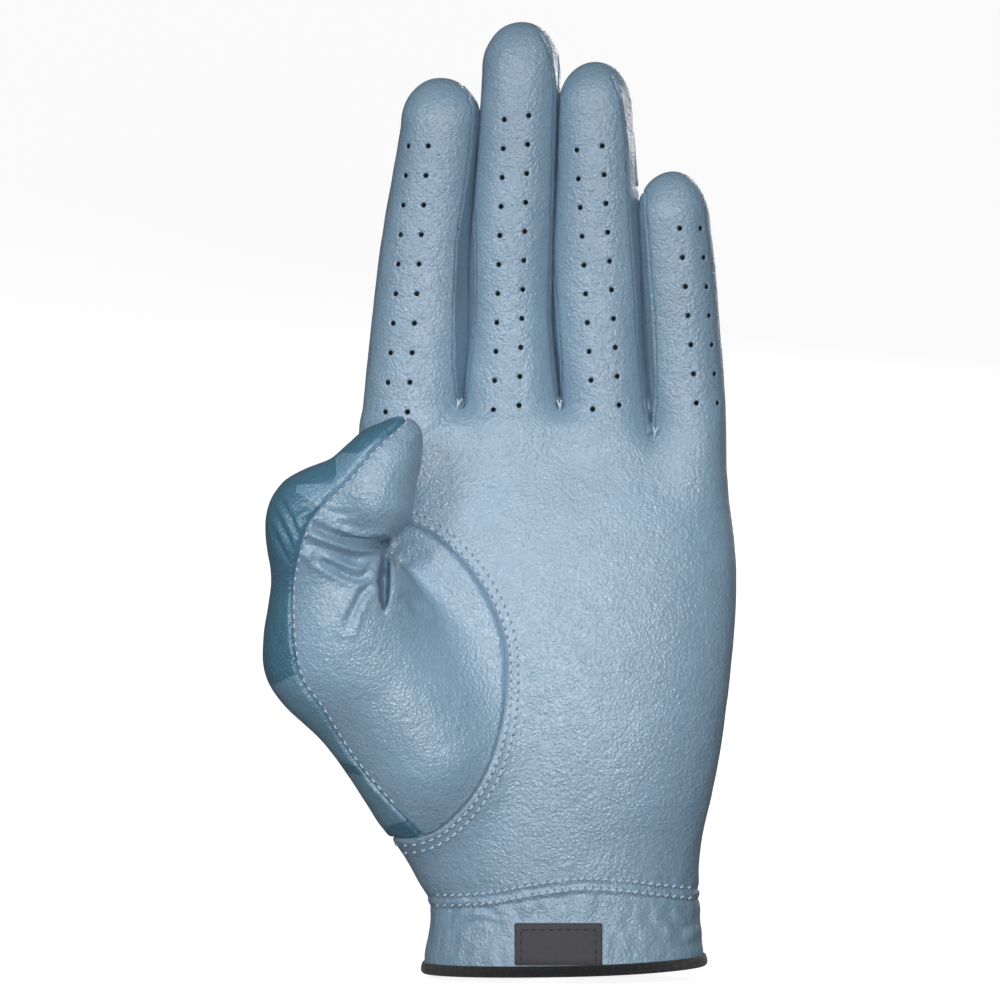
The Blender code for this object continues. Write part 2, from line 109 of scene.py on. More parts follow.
# Each finger: rows of height, left X, right X, centre Y and half-depth. The last row is its shoulder,
# below the rounded tip. Its seams are (height, X) lines between the palm leather and the strips along
# its sides. Its holes are how many rows, the heights of the top and bottom rows, the X of the left and
# of the right column there, and how much higher the right column is.
FINGERS = {
    "index": {
        "rows": [
            (132.0, -50.4, -25.4, 0.0, 9.6),
            (142.0, -49.6, -25.0, 0.0, 9.6),
            (157.0, -48.3, -23.6, -0.2, 9.4),
            (177.0, -45.8, -23.5, -0.9, 9.2),
            (197.0, -42.5, -21.9, -2.0, 9.0),
            (210.0, -40.3, -20.7, -3.0, 8.7),
        ],
        "tip": 221.4,
        "left_seam": None,
        "right_seam": [
            (138.5, -22.0), (141.0, -26.2), (151.0, -27.3), (165.0, -27.3), (181.0, -26.5), (191.0, -24.9),
            (204.0, -23.3), (213.5, -22.6), (217.5, -24.0), (220.0, -25.4), (222.0, -20.0),
        ],
        "holes": (10, 204.9, 139.4, (-38.7, -44.3), (-33.7, -38.8), 0.0),
    },
    "middle": {
        "rows": [
            (132.0, -25.2, -1.2, 0.0, 9.8),
            (142.0, -25.1, -1.2, 0.0, 9.7),
            (160.0, -23.8, -2.9, -0.3, 9.5),
            (179.0, -23.8, -2.8, -0.9, 9.3),
            (196.0, -22.0, -2.1, -1.6, 9.2),
            (212.0, -20.9, -1.6, -2.6, 8.9),
            (223.0, -20.3, -1.1, -3.0, 8.7),
        ],
        "tip": 235.2,
        "left_seam": [
            (138.5, -28.0), (141.0, -25.0), (145.0, -24.2), (154.0, -22.9), (165.0, -22.0), (179.0, -21.9),
            (190.0, -22.4), (200.0, -24.0), (236.0, -24.0),
        ],
        "right_seam": [
            (138.0, 2.0), (140.6, -1.5), (147.0, -2.7), (163.0, -4.0), (195.0, -3.3), (220.0, -2.6),
            (228.0, -4.0), (232.6, -6.4), (236.0, 2.0),
        ],
        "holes": (11, 211.4, 140.0, (-15.0, -17.7), (-8.9, -11.3), 1.0),
    },
    "ring": {
        "rows": [
            (132.0, -1.4, 21.6, 0.0, 9.5),
            (142.0, -1.3, 20.6, 0.0, 9.5),
            (160.0, -3.0, 19.2, -0.4, 9.2),
            (179.0, -2.9, 18.6, -1.2, 9.1),
            (194.0, -2.2, 18.1, -1.9, 9.0),
            (213.5, -1.5, 16.6, -3.0, 8.6),
        ],
        "tip": 225.5,
        "left_seam": [
            (138.0, -5.0), (140.6, -1.0), (151.0, -0.9), (163.0, -1.9), (180.0, -3.0), (195.0, -4.5),
            (226.0, -4.5),
        ],
        "right_seam": [
            (131.5, 25.0), (134.4, 21.0), (142.0, 19.3), (157.0, 17.7), (169.5, 17.0), (188.0, 15.7),
            (207.0, 14.8), (216.0, 13.6), (222.4, 11.0), (225.5, 20.0),
        ],
        "holes": (10, 203.9, 140.1, (2.8, 6.8), (9.2, 13.4), 1.0),
    },
    "little": {
        "rows": [
            (125.0, 22.4, 39.2, 0.0, 9.0),
            (136.0, 21.2, 39.7, 0.0, 8.8),
            (142.0, 20.4, 39.5, 0.0, 8.6),
            (160.0, 19.1, 38.1, -0.5, 8.3),
            (176.0, 18.6, 36.7, -1.8, 8.0),
            (187.0, 17.9, 35.4, -2.8, 7.8),
        ],
        "tip": 198.4,
        "left_seam": [
            (131.5, 18.0), (134.4, 21.6), (144.6, 22.3), (163.0, 21.6), (179.0, 20.4), (188.0, 19.6),
            (193.0, 19.6), (199.0, 14.0),
        ],
        "right_seam": None,
        "holes": (7, 184.6, 141.6, (28.3, 32.4), (33.5, 37.6), 0.0),
    },
}
WEBS = {"middle": 141.0, "ring": 140.6, "little": 134.4}  # height of the web on the thumb side of each

# The thumb: capsules of (start, end, start radius, end radius).
THUMB_BASE = [
    ((-33.0, -10.5, 57.0), (-50.0, -15.0, 90.0), 15.0, 15.0),
    ((-37.0, -8.0, 48.0), (-57.3, -13.0, 80.0), 11.0, 14.4),
    ((-57.3, -13.0, 80.0), (-58.6, -20.0, 107.5), 14.4, 12.2),
]
THUMB_END = [
    ((-58.6, -20.8, 108.0), (-59.6, -21.8, 113.2), 12.0, 11.6),
    ((-59.6, -21.8, 113.2), (-45.5, -25.5, 125.5), 11.6, 7.8),
    ((-45.5, -25.5, 125.5), (-39.7, -26.0, 132.8), 7.8, 5.0),
    ((-47.0, -26.0, 118.5), (-43.2, -26.0, 127.3), 10.8, 7.9),
]
CREASE_OUTER = np.array([-72.2, 116.5])
CREASE_INNER = np.array([-43.0, 107.0])

# Seams as the camera sees them.
OVAL_SEAM = [
    (-90.0, 142.0), (-56.0, 121.0), (-46.0, 113.4), (-40.9, 112.4), (-36.5, 111.0), (-28.6, 105.7),
    (-21.3, 97.0), (-15.1, 81.8), (-14.6, 74.0), (-15.6, 61.9), (-18.9, 51.1), (-25.4, 41.3),
    (-33.0, 35.3), (-38.0, 34.0), (-42.5, 34.4), (-60.0, 37.0), (-90.0, 40.0),
]
PRINT_SEAM = [
    (-32.0, 147.0), (-39.5, 137.6), (-46.1, 131.7), (-54.4, 122.3), (-60.3, 116.2), (-63.7, 111.4),
    (-65.6, 106.0), (-67.2, 99.5), (-67.7, 91.0), (-67.2, 82.5), (-65.3, 73.4), (-60.3, 66.0),
    (-54.2, 56.2), (-44.3, 43.8), (-36.2, 35.7), (-29.0, 28.0),
]
WRIST_SEAM_TOP = [
    (-45.0, 19.9), (-33.0, 20.2), (-19.0, 20.9), (-7.4, 23.0), (4.3, 24.4), (13.8, 24.0), (23.2, 23.0),
    (34.0, 22.0), (45.0, 21.6),
]
WRIST_SEAM_DROP = 2.5

# Folds in the leather as the camera sees them: a line, its depth and its width.
FOLDS = [
    ([(-63.5, 112.2), (-56.5, 108.9), (-50.9, 107.4), (-44.6, 107.3)], 2.2, 0.9),
    ([(-64.1, 106.8), (-58.5, 105.2), (-53.0, 103.3), (-48.5, 102.6)], 1.3, 1.1),
    ([(-61.2, 103.6), (-57.2, 101.3), (-53.0, 99.2), (-50.2, 98.6), (-47.4, 101.0)], 1.7, 0.9),
    ([(-46.4, 98.6), (-49.6, 95.0), (-51.9, 91.0), (-53.8, 86.4)], 1.0, 0.9),
    ([(-43.2, 102.0), (-40.5, 102.4), (-35.0, 104.0)], 0.5, 1.1),
    ([(-43.0, 93.0), (-38.8, 93.2), (-35.5, 89.5)], 0.7, 1.1),
    ([(-70.6, 118.4), (-67.0, 112.5), (-64.9, 107.0)], 0.4, 0.55),
    ([(-71.6, 115.0), (-68.8, 109.5), (-66.0, 104.0)], 0.4, 0.55),
    ([(-72.0, 111.0), (-70.2, 106.5), (-67.4, 101.5)], 0.3, 0.5),
    ([(-60.5, 115.6), (-56.0, 114.4), (-51.5, 114.6)], 0.35, 0.6),
    ([(-62.5, 113.6), (-58.5, 111.9), (-54.0, 111.6)], 0.35, 0.6),
    ([(-54.2, 121.4), (-50.0, 119.8), (-46.0, 119.9)], 0.3, 0.6),
    ([(-27.5, 139.5), (-31.5, 135.5), (-36.5, 131.0)], 0.35, 1.0),
    ([(-32.0, 15.0), (-22.0, 17.6), (-14.5, 14.4)], 0.3, 0.8),
    ([(-30.0, 10.5), (-21.5, 14.0), (-13.8, 12.4)], 0.3, 0.7),
    ([(25.0, 15.5), (29.0, 12.0), (32.5, 14.5)], 0.5, 1.0),
    ([(27.0, 9.5), (30.0, 7.8), (33.0, 9.0)], 0.4, 0.9),
]
PIT = ((-44.0, -26.0, 99.2), (1.7, 10.0, 8.4))

# The thumb's printed pattern as the camera sees it: the foot of the big dark area, a light patch in it,
# and dark patches below it.
PRINT_DARK_FOOT = 73.4
PRINT_LIGHT = [
    (-43.0, 134.5), (-50.9, 129.1), (-54.7, 129.3), (-56.4, 128.2), (-56.2, 123.9), (-57.4, 121.8),
    (-66.0, 121.4), (-66.2, 119.6), (-63.4, 118.0), (-59.0, 115.0), (-48.0, 117.0), (-38.0, 134.0),
]
PRINT_DARK = [
    [(-60.2, 68.0), (-57.6, 67.0), (-57.2, 64.2), (-59.6, 64.6)],
    [(-60.0, 53.6), (-55.0, 53.2), (-49.0, 51.4), (-45.0, 49.0), (-46.6, 48.6), (-52.0, 50.2), (-59.0, 51.0)],
    [(-45.0, 36.6), (-42.4, 37.8), (-38.6, 38.6), (-35.0, 36.4), (-37.0, 33.0), (-45.0, 33.0)],
]

# ---------------------------------------------------------------- numbers and curves


def smooth_step(value):
    value = np.clip(value, 0.0, 1.0)
    return value * value * (3 - 2 * value)


def curve(table, at):
    """The columns of a table on smooth curves through its rows, at values of its first column."""
    table = np.asarray(table, float)
    keys, values = table[:, 0], table[:, 1:]
    slopes = np.gradient(values, keys, axis=0)
    at = np.clip(at, keys[0], keys[-1])
    i = np.clip(np.searchsorted(keys, at, side="right") - 1, 0, len(keys) - 2)
    span = (keys[i + 1] - keys[i])[..., None]
    t = (at - keys[i])[..., None] / span
    square, cube = t * t, t * t * t
    result = (2 * cube - 3 * square + 1) * values[i] + (cube - 2 * square + t) * span * slopes[i]
    result += (3 * square - 2 * cube) * values[i + 1] + (cube - square) * span * slopes[i + 1]
    return np.moveaxis(result, -1, 0)


def smooth_line(points, closed, step=0.5):
    """A smooth line through points, as many short steps."""
    points = np.asarray(points, float)
    if closed:
        points = np.concatenate([points[-3:], points, points[:3]])
    lengths = np.concatenate([[0.0], np.cumsum(np.linalg.norm(np.diff(points, axis=0), axis=1))])
    table = np.column_stack([lengths, points])
    start, end = (lengths[3], lengths[-3]) if closed else (0.0, lengths[-1])
    return np.array(curve(table, np.linspace(start, end, int((end - start) / step) + 2))).T


def distance_to_line(points, line):
    """Distance from 2D points to a line, and which side they are on: positive is to its left."""
    best = np.full(len(points), 1e9)
    side = np.ones(len(points))
    for a, b in zip(line[:-1], line[1:]):
        d = b - a
        q = points - a
        t = np.clip(q @ d / (d @ d), 0.0, 1.0)
        gap = np.hypot(q[:, 0] - t * d[0], q[:, 1] - t * d[1])
        nearer = gap < best
        best[nearer] = gap[nearer]
        side[nearer] = np.sign(d[0] * q[nearer, 1] - d[1] * q[nearer, 0])
    return best * np.where(side == 0, 1.0, side)


def smooth_min(a, b, radius):
    radius = np.maximum(radius, 1e-3)
    h = np.maximum(radius - np.abs(a - b), 0.0)
    return np.minimum(a, b) - h * h / (4 * radius)


def smooth_max(a, b, radius):
    return -smooth_min(-a, -b, radius)


def as_seen(p):
    """Where the camera sees points, as (x, z) on the plane y = 0."""
    share = CAMERA_DISTANCE / (p[:, 1] - CAMERA[1])
    return CAMERA[[0, 2]] + (p[:, [0, 2]] - CAMERA[[0, 2]]) * share[:, None]


# ---------------------------------------------------------------- the glove as distances to its skin


def rounded_section(x, y, left, right, front, back, power):
    """Roughly the distance to the side of a loft of superellipses."""
    width, depth = (right - left) / 2, (back - front) / 2
    u = np.abs(x - (left + right) / 2) / width + 1e-6
    v = np.abs(y - (front + back) / 2) / depth + 1e-6
    size = (u**power + v**power) ** (1 / power)
    slope = size ** (1 - power) * np.hypot(u ** (power - 1) / width, v ** (power - 1) / depth)
    return (size - 1) / np.maximum(slope, 1 / width)


def palm_field(p):
    x, y, z = p.T
    side = rounded_section(x, y, *curve(HAND, z))
    (top,) = curve(PALM_TOP, x)
    return smooth_max(side, (z - top) * 0.9, 6.0)


def finger_field(p, finger):
    x, y, z = p.T
    rows = finger["rows"]
    foot, shoulder, tip = rows[0][0], rows[-1][0], finger["tip"]
    left, right, middle, depth = curve(rows, np.clip(z, foot, shoulder))
    left = left - SQUEEZE * (finger["left_seam"] is not None)
    right = right + SQUEEZE * (finger["right_seam"] is not None)
    width = (right - left) / 2
    u = np.abs(x - (left + right) / 2) / width
    v = np.abs(y - middle) / depth
    across = (u**2.3 + v**2.3) ** (2 / 2.3)
    above = np.maximum(z - shoulder, 0.0) / (tip - shoulder)
    below = np.maximum(foot - z, 0.0) / 14.0
    size = np.sqrt(across + above**2 + below**2)
    field = (size - 1) * 9.0
    for seam, sign in ((finger["left_seam"], -1), (finger["right_seam"], 1)):
        if seam is not None:
            field = smooth_max(field, side_plane(x, y, z, seam, sign, left, right, middle, depth), 0.7)
    return field


def side_plane(x, y, z, seam, sign, left, right, middle, depth):
    """Distance outside the flat strip that runs back from a finger's seam to its widest place."""
    edge = np.interp(z, *np.transpose(seam))
    width, centre = (right - left) / 2, (left + right) / 2
    u = np.clip(sign * (edge - centre) / width, 0.0, 0.97)
    front = middle - depth * (1 - u**2.3) ** (1 / 2.3)
    run_x, run_y = width * (1.0 - u), middle + 2.0 - front
    return (run_y * (sign * (x - centre) - width * u) - run_x * (y - front)) / np.hypot(run_x, run_y)


def capsule_field(p, start, end, start_radius, end_radius):
    start, end = np.array(start), np.array(end)
    along = end - start
    t = np.clip((p - start) @ along / (along @ along), 0.0, 1.0)
    away = np.linalg.norm(p - start - t[:, None] * along, axis=1)
    return away - (start_radius + (end_radius - start_radius) * t)


def past_crease(p):
    """Distance past the plane through the thumb's knuckle crease, towards its tip."""
    along = (CREASE_INNER - CREASE_OUTER) / np.linalg.norm(CREASE_INNER - CREASE_OUTER)
    normal = np.array([-along[1], along[0]])
    return (p[:, [0, 2]] - CREASE_OUTER) @ normal


def thumb_field(p):
    base = capsule_field(p, *THUMB_BASE[0])
    for capsule in THUMB_BASE[1:]:
        base = smooth_min(base, capsule_field(p, *capsule), 9.0)
    end = capsule_field(p, *THUMB_END[0])
    for capsule in THUMB_END[1:]:
        end = smooth_min(end, capsule_field(p, *capsule), 4.0)
    outward = smooth_step((-47.0 - p[:, 0]) / 18.0)
    pit = (np.linalg.norm((p - np.array(PIT[0])) / np.array(PIT[1]), axis=1) - 1) * PIT[1][0]
    return smooth_min(smooth_max(base, -pit, 0.9), end, 1.0 + 5.0 * outward)


def fingers_field(p):
    field = None
    for name, finger in FINGERS.items():
        own = finger_field(p, finger)
        if field is None:
            field = own
        else:
            web = WEBS[name]
            field = smooth_min(field, own, 0.02 + 3.5 * smooth_step((web + 1.0 - p[:, 2]) / 7.0))
    return field


def hand_field(p):
    """The hand with finger stubs, and with the thumb up to its knuckle crease."""
    z = p[:, 2]
    palm = palm_field(p)
    field = smooth_min(palm, fingers_field(p), 1.5 + 3.0 * smooth_step((145.0 - z) / 10.0))
    thumb = np.maximum(thumb_field(p), past_crease(p) - 1.6)
    return smooth_min(field, thumb, 2.0 + 10.0 * smooth_step((104.0 - z) / 22.0))


def gradient(field, p, step=0.05):
    result = np.empty_like(p)
    for axis in range(3):
        offset = np.zeros(3)
        offset[axis] = step
        result[:, axis] = (field(p + offset) - field(p - offset)) / (2 * step)
    return result


def onto_skin(field, p, rounds=3):
    for _ in range(rounds):
        slope = gradient(field, p)
        value = field(p)
        p = p - slope * (value / np.maximum((slope**2).sum(1), 0.05))[:, None]
    return p


def unit(v):
    return v / np.maximum(np.linalg.norm(v, axis=1), 1e-9)[:, None]


# ---------------------------------------------------------------- meshing


def skin_mesh(field, low, high):
    """Points and triangles of the surface where field is 0, within a box."""
    low = np.floor(np.array(low) / CELL) * CELL
    counts = np.ceil((np.array(high) - low) / CELL).astype(int) + 1
    axes = [low[k] + CELL * np.arange(counts[k]) for k in range(3)]
    values = np.empty(counts, np.float32)
    across = np.stack(np.meshgrid(axes[0], axes[1], indexing="ij"), -1).reshape(-1, 2)
    block = 16
    for start in range(0, counts[2], block):
        heights = axes[2][start : start + block]
        p = np.empty((len(across), len(heights), 3))
        p[:, :, :2] = across[:, None, :]
        p[:, :, 2] = heights
        values[:, :, start : start + block] = field(p.reshape(-1, 3)).reshape(counts[0], counts[1], -1)
    inside = values < 0
    total = np.zeros(np.array(counts) - 1, np.int8)
    for corner in np.ndindex(2, 2, 2):
        total += inside[tuple(slice(c, c + n - 1) for c, n in zip(corner, counts))]
    cells = np.argwhere((total > 0) & (total < 8))
    index = np.full(np.array(counts) - 1, -1, np.int64)
    index[tuple(cells.T)] = np.arange(len(cells))
    sums, hits = np.zeros((len(cells), 3)), np.zeros(len(cells))
    for axis in range(3):
        others = [k for k in range(3) if k != axis]
        for a, b in np.ndindex(2, 2):
            first = cells.copy()
            first[:, others[0]] += a
            first[:, others[1]] += b
            second = first.copy()
            second[:, axis] += 1
            va, vb = values[tuple(first.T)], values[tuple(second.T)]
            crossing = (va < 0) != (vb < 0)
            t = np.where(crossing, va / np.where(crossing, va - vb, 1), 0)
            place = first.astype(float)
            place[:, axis] += t
            sums[crossing] += place[crossing]
            hits += crossing
    points = low + CELL * sums / hits[:, None]
    quads = []
    for axis in range(3):
        u, v = (axis + 1) % 3, (axis + 2) % 3
        ahead = tuple(slice(1, None) if k == axis else slice(None) for k in range(3))
        behind = tuple(slice(None, -1) if k == axis else slice(None) for k in range(3))
        edges = np.argwhere(inside[behind] != inside[ahead])
        for k in (u, v):
            edges = edges[(edges[:, k] > 0) & (edges[:, k] < counts[k] - 1)]
        corners = []
        for du, dv in ((-1, -1), (0, -1), (0, 0), (-1, 0)):
            cell = edges.copy()
            cell[:, u] += du
            cell[:, v] += dv
            corners.append(index[tuple(cell.T)])
        quad = np.stack(corners, 1)
        flip = ~inside[tuple(edges.T)]
        quad[flip] = quad[flip][:, ::-1]
        quads.append(quad)
    quads = np.concatenate(quads)
    quads = quads[(quads >= 0).all(1)]
    points = onto_skin(field, points)
    shorter = np.linalg.norm(points[quads[:, 0]] - points[quads[:, 2]], axis=1)
    other = np.linalg.norm(points[quads[:, 1]] - points[quads[:, 3]], axis=1)
    turn = shorter > other
    quads[turn] = np.roll(quads[turn], 1, axis=1)
    return points, np.concatenate([quads[:, [0, 1, 2]], quads[:, [0, 2, 3]]])


class Skin:
    """A leather surface that can be cut along seams. Each seam is a function that is 0 on the seam."""

    def __init__(self, field, low, high):
        self.field = field
        self.points, self.faces = skin_mesh(field, low, high)
        self.depth = np.zeros(len(self.points))
        self.seams = {}
        self.values = {}

    def cut(self, name, seam):
        """Puts mesh edges along the seam, after moving the nearest points onto it."""
        value = seam(self.points)
        value[np.abs(value) < 0.02] = 0.0
        near = (np.abs(value) < 0.35 * CELL) & (value != 0)
        for other in self.values.values():
            near &= other != 0
        near = np.flatnonzero(near)
        if len(near):
            p = self.points[near]
            normal = unit(gradient(self.field, p))
            slope = gradient(seam, p)
            slope -= normal * (slope * normal).sum(1)[:, None]
            move = -slope * (value[near] / np.maximum((slope**2).sum(1), 0.2))[:, None]
            p = onto_skin(self.field, p + move, 1)
            self.points[near] = p
            value[near] = 0.0
            for other, other_value in self.values.items():
                other_value[near] = self.seams[other](p)
        self.seams[name] = seam
        self.values[name] = value
        self._split(name)

    def _split(self, name):
        sign = np.sign(self.values[name])[self.faces]
        crossing = (sign > 0).any(1) & (sign < 0).any(1)
        faces, sign = self.faces[crossing], sign[crossing]
        zeros = (sign == 0).sum(1)
        on_seam = np.argmax(sign == 0, axis=1)
        alone = np.argmax(sign == -sign.sum(1)[:, None], axis=1)
        lonely = np.where(zeros == 1, on_seam, alone)
        order = (lonely[:, None] + np.arange(3)) % 3
        faces = np.take_along_axis(faces, order, 1)
        one = faces[zeros == 1]
        two = faces[zeros == 0]
        edges = np.concatenate([one[:, [1, 2]], two[:, [0, 1]], two[:, [0, 2]]])
        keys, index = np.unique(np.sort(edges, axis=1), axis=0, return_inverse=True)
        index = index.reshape(-1) + len(self.points)
        value = self.values[name]
        share = value[keys[:, 0]] / (value[keys[:, 0]] - value[keys[:, 1]])
        start, end = keys.T
        places = self.points[start] + (self.points[end] - self.points[start]) * share[:, None]
        for other, known in self.values.items():
            added = known[start] + (known[end] - known[start]) * share
            if other == name:
                added[:] = 0.0
            self.values[other] = np.concatenate([known, added])
        self.depth = np.concatenate([self.depth, np.zeros(len(keys))])
        self.points = np.concatenate([self.points, onto_skin(self.field, places, 1)])
        m = index[: len(one)]
        a, b = index[len(one) : len(one) + len(two)], index[len(one) + len(two) :]
        made = [np.stack(t, 1) for t in (
            (one[:, 0], one[:, 1], m), (one[:, 0], m, one[:, 2]),
            (two[:, 0], a, b), (a, two[:, 1], two[:, 2]), (a, two[:, 2], b),
        )]
        self.faces = np.concatenate([self.faces[~crossing]] + made)

    def side(self, name):
        """True for each face on the positive side of a seam."""
        return np.sign(self.values[name])[self.faces].sum(1) > 0

    def punch(self, centre, radius, sides=14):
        """Opens a round hole with a rolled edge."""
        gap = np.linalg.norm(self.points - centre, axis=1) < radius + 0.55
        hit = gap[self.faces].any(1)
        removed = self.faces[hit]
        rim = open_edges(removed)
        normal = unit(gradient(self.field, centre[None]))[0]
        right = np.cross(normal, [0.0, 0.0, 1.0])
        right /= np.linalg.norm(right)
        up = np.cross(right, normal)
        place = self.points[rim[:, 0]] - centre
        turn = np.arctan2(place @ up, place @ right)
        order = np.argsort(turn)
        outer, outer_turn = rim[order, 0], turn[order]
        angles = np.linspace(-math.pi, math.pi, sides, endpoint=False)
        circle = np.cos(angles)[:, None] * right + np.sin(angles)[:, None] * up
        start = len(self.points)
        for ring, ring_radius in enumerate((radius + 0.22, radius)):
            places = onto_skin(self.field, centre + circle * ring_radius, 1)
            self.points = np.concatenate([self.points, places])
            self.depth = np.concatenate([self.depth, np.full(sides, 0.2 * ring)])
        for name, seam in self.seams.items():
            self.values[name] = np.concatenate([self.values[name], seam(self.points[start:])])
        made = []
        i, j, total = 0, 0, len(outer)
        while i < total or j < sides:
            next_outer = outer_turn[i] if i < total else 1e9
            next_inner = angles[j] if j < sides else 1e9
            if next_outer <= next_inner:
                made.append((outer[i - 1], outer[i % total], start + (j - 1) % sides))
                i += 1
            else:
                made.append((outer[(i - 1) % total], start + j, start + (j - 1) % sides))
                j += 1
        for k in range(sides):
            after = (k + 1) % sides
            made.append((start + k, start + after, start + sides + after))
            made.append((start + k, start + sides + after, start + sides + k))
        made = np.array(made)
        a, b, c = (self.points[made[:, k]] for k in range(3))
        flip = np.cross(b - a, c - a) @ normal < 0
        made[flip] = made[flip][:, ::-1]
        self.faces = np.concatenate([self.faces[~hit], made])


# ---------------------------------------------------------------- seams as functions of a point


def oval_side(p):
    """Negative on the thumb's leather, positive on the palm and back."""
    front = distance_to_line(as_seen(p), OVAL_LINE)
    return smooth_max(front, p[:, 1] - 4.0, 2.0)


def print_side(p):
    """Positive on the plain leather of the thumb, negative on the printed leather."""
    (middle,) = curve([(30.0, -2.0), (60.0, -5.0), (80.0, -10.0), (108.0, -20.0), (132.0, -24.0)], p[:, 2])
    middle = middle + 45.0 * smooth_step((p[:, 0] + 57.0) / 12.0)
    return np.minimum(distance_to_line(as_seen(p), PRINT_LINE), middle - p[:, 1])


def finger_edges(p):
    """How far points are outside the nearest finger's palm leather, and the Y of its back leather's edge."""
    x, y, z = p.T
    nearest = np.full(len(p), 1e9)
    outside, back = np.zeros(len(p)), np.zeros(len(p))
    for finger in FINGERS.values():
        rows = finger["rows"]
        left, right, middle, _ = curve(rows, np.clip(z, rows[0][0], rows[-1][0]))
        centre = (left + right) / 2
        mine = np.flatnonzero(np.abs(x - centre) < nearest)
        nearest[mine] = np.abs(x - centre)[mine]
        seams = [finger["left_seam"], finger["right_seam"]]
        sewn = np.where(x < centre, seams[0] is not None, seams[1] is not None)
        sewn = sewn * smooth_step(np.abs(x - centre) / 5.0)
        side = middle + 2.2 * (1 - sewn) + 4.5 * smooth_step((z - finger["tip"] + 14.0) / 12.0)
        palm = y - side
        for seam, sign in zip(seams, (-1, 1)):
            if seam is not None:
                edge = np.interp(z, *np.transpose(seam))
                palm = np.maximum(palm, sign * (x - edge))
        outside[mine] = palm[mine]
        back[mine] = (side + 4.2 * sewn * smooth_step((finger["tip"] - 6.0 - z) / 12.0))[mine]
    return outside, back


def front_side(p):
    """Negative on the palm leather."""
    return finger_edges(p)[0]


def back_side(p):
    """Positive on the back leather."""
    return p[:, 1] - finger_edges(p)[1]


def slit_side(p):
    """Negative inside the slit in the back of the cuff."""
    z = p[:, 2]
    half = SLIT_HALF[0] + (SLIT_HALF[1] - SLIT_HALF[0]) * np.clip(z / SLIT_TOP, 0.0, 1.0)
    gap = np.hypot(p[:, 0] - SLIT_X, np.maximum(z - SLIT_TOP, 0.0)) - half
    return np.maximum(gap, -p[:, 1])


def foot_side(p):
    return p[:, 2] - FOOT - hem_lift(p[:, 0])


def hem_lift(x):
    """The hem rises towards the little finger's side."""
    return 0.25 + 0.018 * (x + 35.0) + 0.0006 * np.maximum(x, 0.0) ** 2


def finger_cut_side(p):
    return p[:, 2] - FINGER_CUT


def waves(p, length, seed):
    """A smooth random field between about -1 and 1."""
    random = np.random.default_rng(seed)
    total = np.zeros(len(p))
    for _ in range(9):
        direction = random.normal(size=3)
        direction *= 2 * math.pi / (length * np.linalg.norm(direction)) * random.uniform(0.7, 1.4)
        total += np.sin(p @ direction + random.uniform(0, 2 * math.pi))
    return total / 3.0


def polygon_side(points, polygon):
    """Distance to a closed outline, positive inside."""
    polygon = np.array(polygon)
    line = np.concatenate([polygon, polygon[:1]])
    distance = np.abs(distance_to_line(points, line))
    x, y = points.T
    inside = np.zeros(len(points), bool)
    for (xa, ya), (xb, yb) in zip(line[:-1], line[1:]):
        spans = (ya > y) != (yb > y)
        inside ^= spans & (x < (xb - xa) * (y - ya) / (yb - ya + 1e-12) + xa)
    return np.where(inside, distance, -distance)


def print_dark(p):
    """Positive where the printed pattern is dark."""
    seen = as_seen(p)
    on_thumb = seen[:, 1] - PRINT_DARK_FOOT + 1.2 * np.sin(seen[:, 0] * 0.5)
    on_thumb = np.minimum(on_thumb, -polygon_side(seen, PRINT_LIGHT))
    for patch in PRINT_DARK:
        on_thumb = np.maximum(on_thumb, polygon_side(seen, patch))
    elsewhere = 7.0 * (waves(p * np.array([1.0, 0.6, 0.8]), 42.0, 5) + 0.25 * waves(p, 13.0, 8) - 0.15)
    (middle,) = curve([(30.0, -6.0), (60.0, -9.0), (80.0, -12.0), (108.0, -20.0), (132.0, -23.0)], p[:, 2])
    behind = smooth_step((p[:, 1] - middle) / 8.0)
    return on_thumb * (1 - behind) + elsewhere * behind


# ---------------------------------------------------------------- relief on the leather


def relief(p, normal):
    """How far folds, creases and puffed seams lift the leather."""
    seen = as_seen(p)
    facing = smooth_step((-normal[:, 1] + 0.1) / 0.4)
    lift = np.zeros(len(p))
    for points, depth, width in FOLDS:
        line = np.array(points)
        low, high = line.min(0) - 6 * width, line.max(0) + 6 * width
        close = np.flatnonzero(((seen > low) & (seen < high)).all(1) & (facing > 0))
        if not len(close):
            continue
        line = smooth_line(points, False)
        gap = np.abs(distance_to_line(seen[close], line))
        ends = np.minimum(*(np.linalg.norm(seen[close] - end, axis=1) for end in (line[0], line[-1])))
        fade = 0.25 + 0.75 * smooth_step(ends / 4.0)
        groove = np.exp(-((gap / width) ** 1.25))
        ridge = np.exp(-(((gap - 2.1 * width) / (1.1 * width)) ** 2))
        lift[close] += depth * fade * (0.45 * ridge - groove) * facing[close]
    z = p[:, 2]
    top = np.interp(seen[:, 0], *np.array(WRIST_SEAM_TOP).T)
    row = z - top
    for offset in (0.0, -WRIST_SEAM_DROP):
        lift -= 0.35 * np.exp(-(((row - offset) / 0.55) ** 2))
    lift += 0.2 * np.exp(-(((row + WRIST_SEAM_DROP / 2) / 0.8) ** 2))
    around = np.arctan2(p[:, 1], p[:, 0] * 0.55) * 26.0
    pleat = np.sin(around * 1.9 + 1.3 * np.sin(around * 0.37)) + 0.6 * np.sin(around * 3.1 + z * 0.35)
    cuff = smooth_step((28.0 - z) / 6.0) * smooth_step((z - 3.0) / 4.0)
    lift += (0.03 * pleat + 0.12 * waves(p * np.array([1.0, 0.6, 0.55]), 4.5, 11)) * cuff
    lift += 0.12 * waves(p, 24.0, 3) + 0.03 * waves(p, 7.0, 4)
    return lift


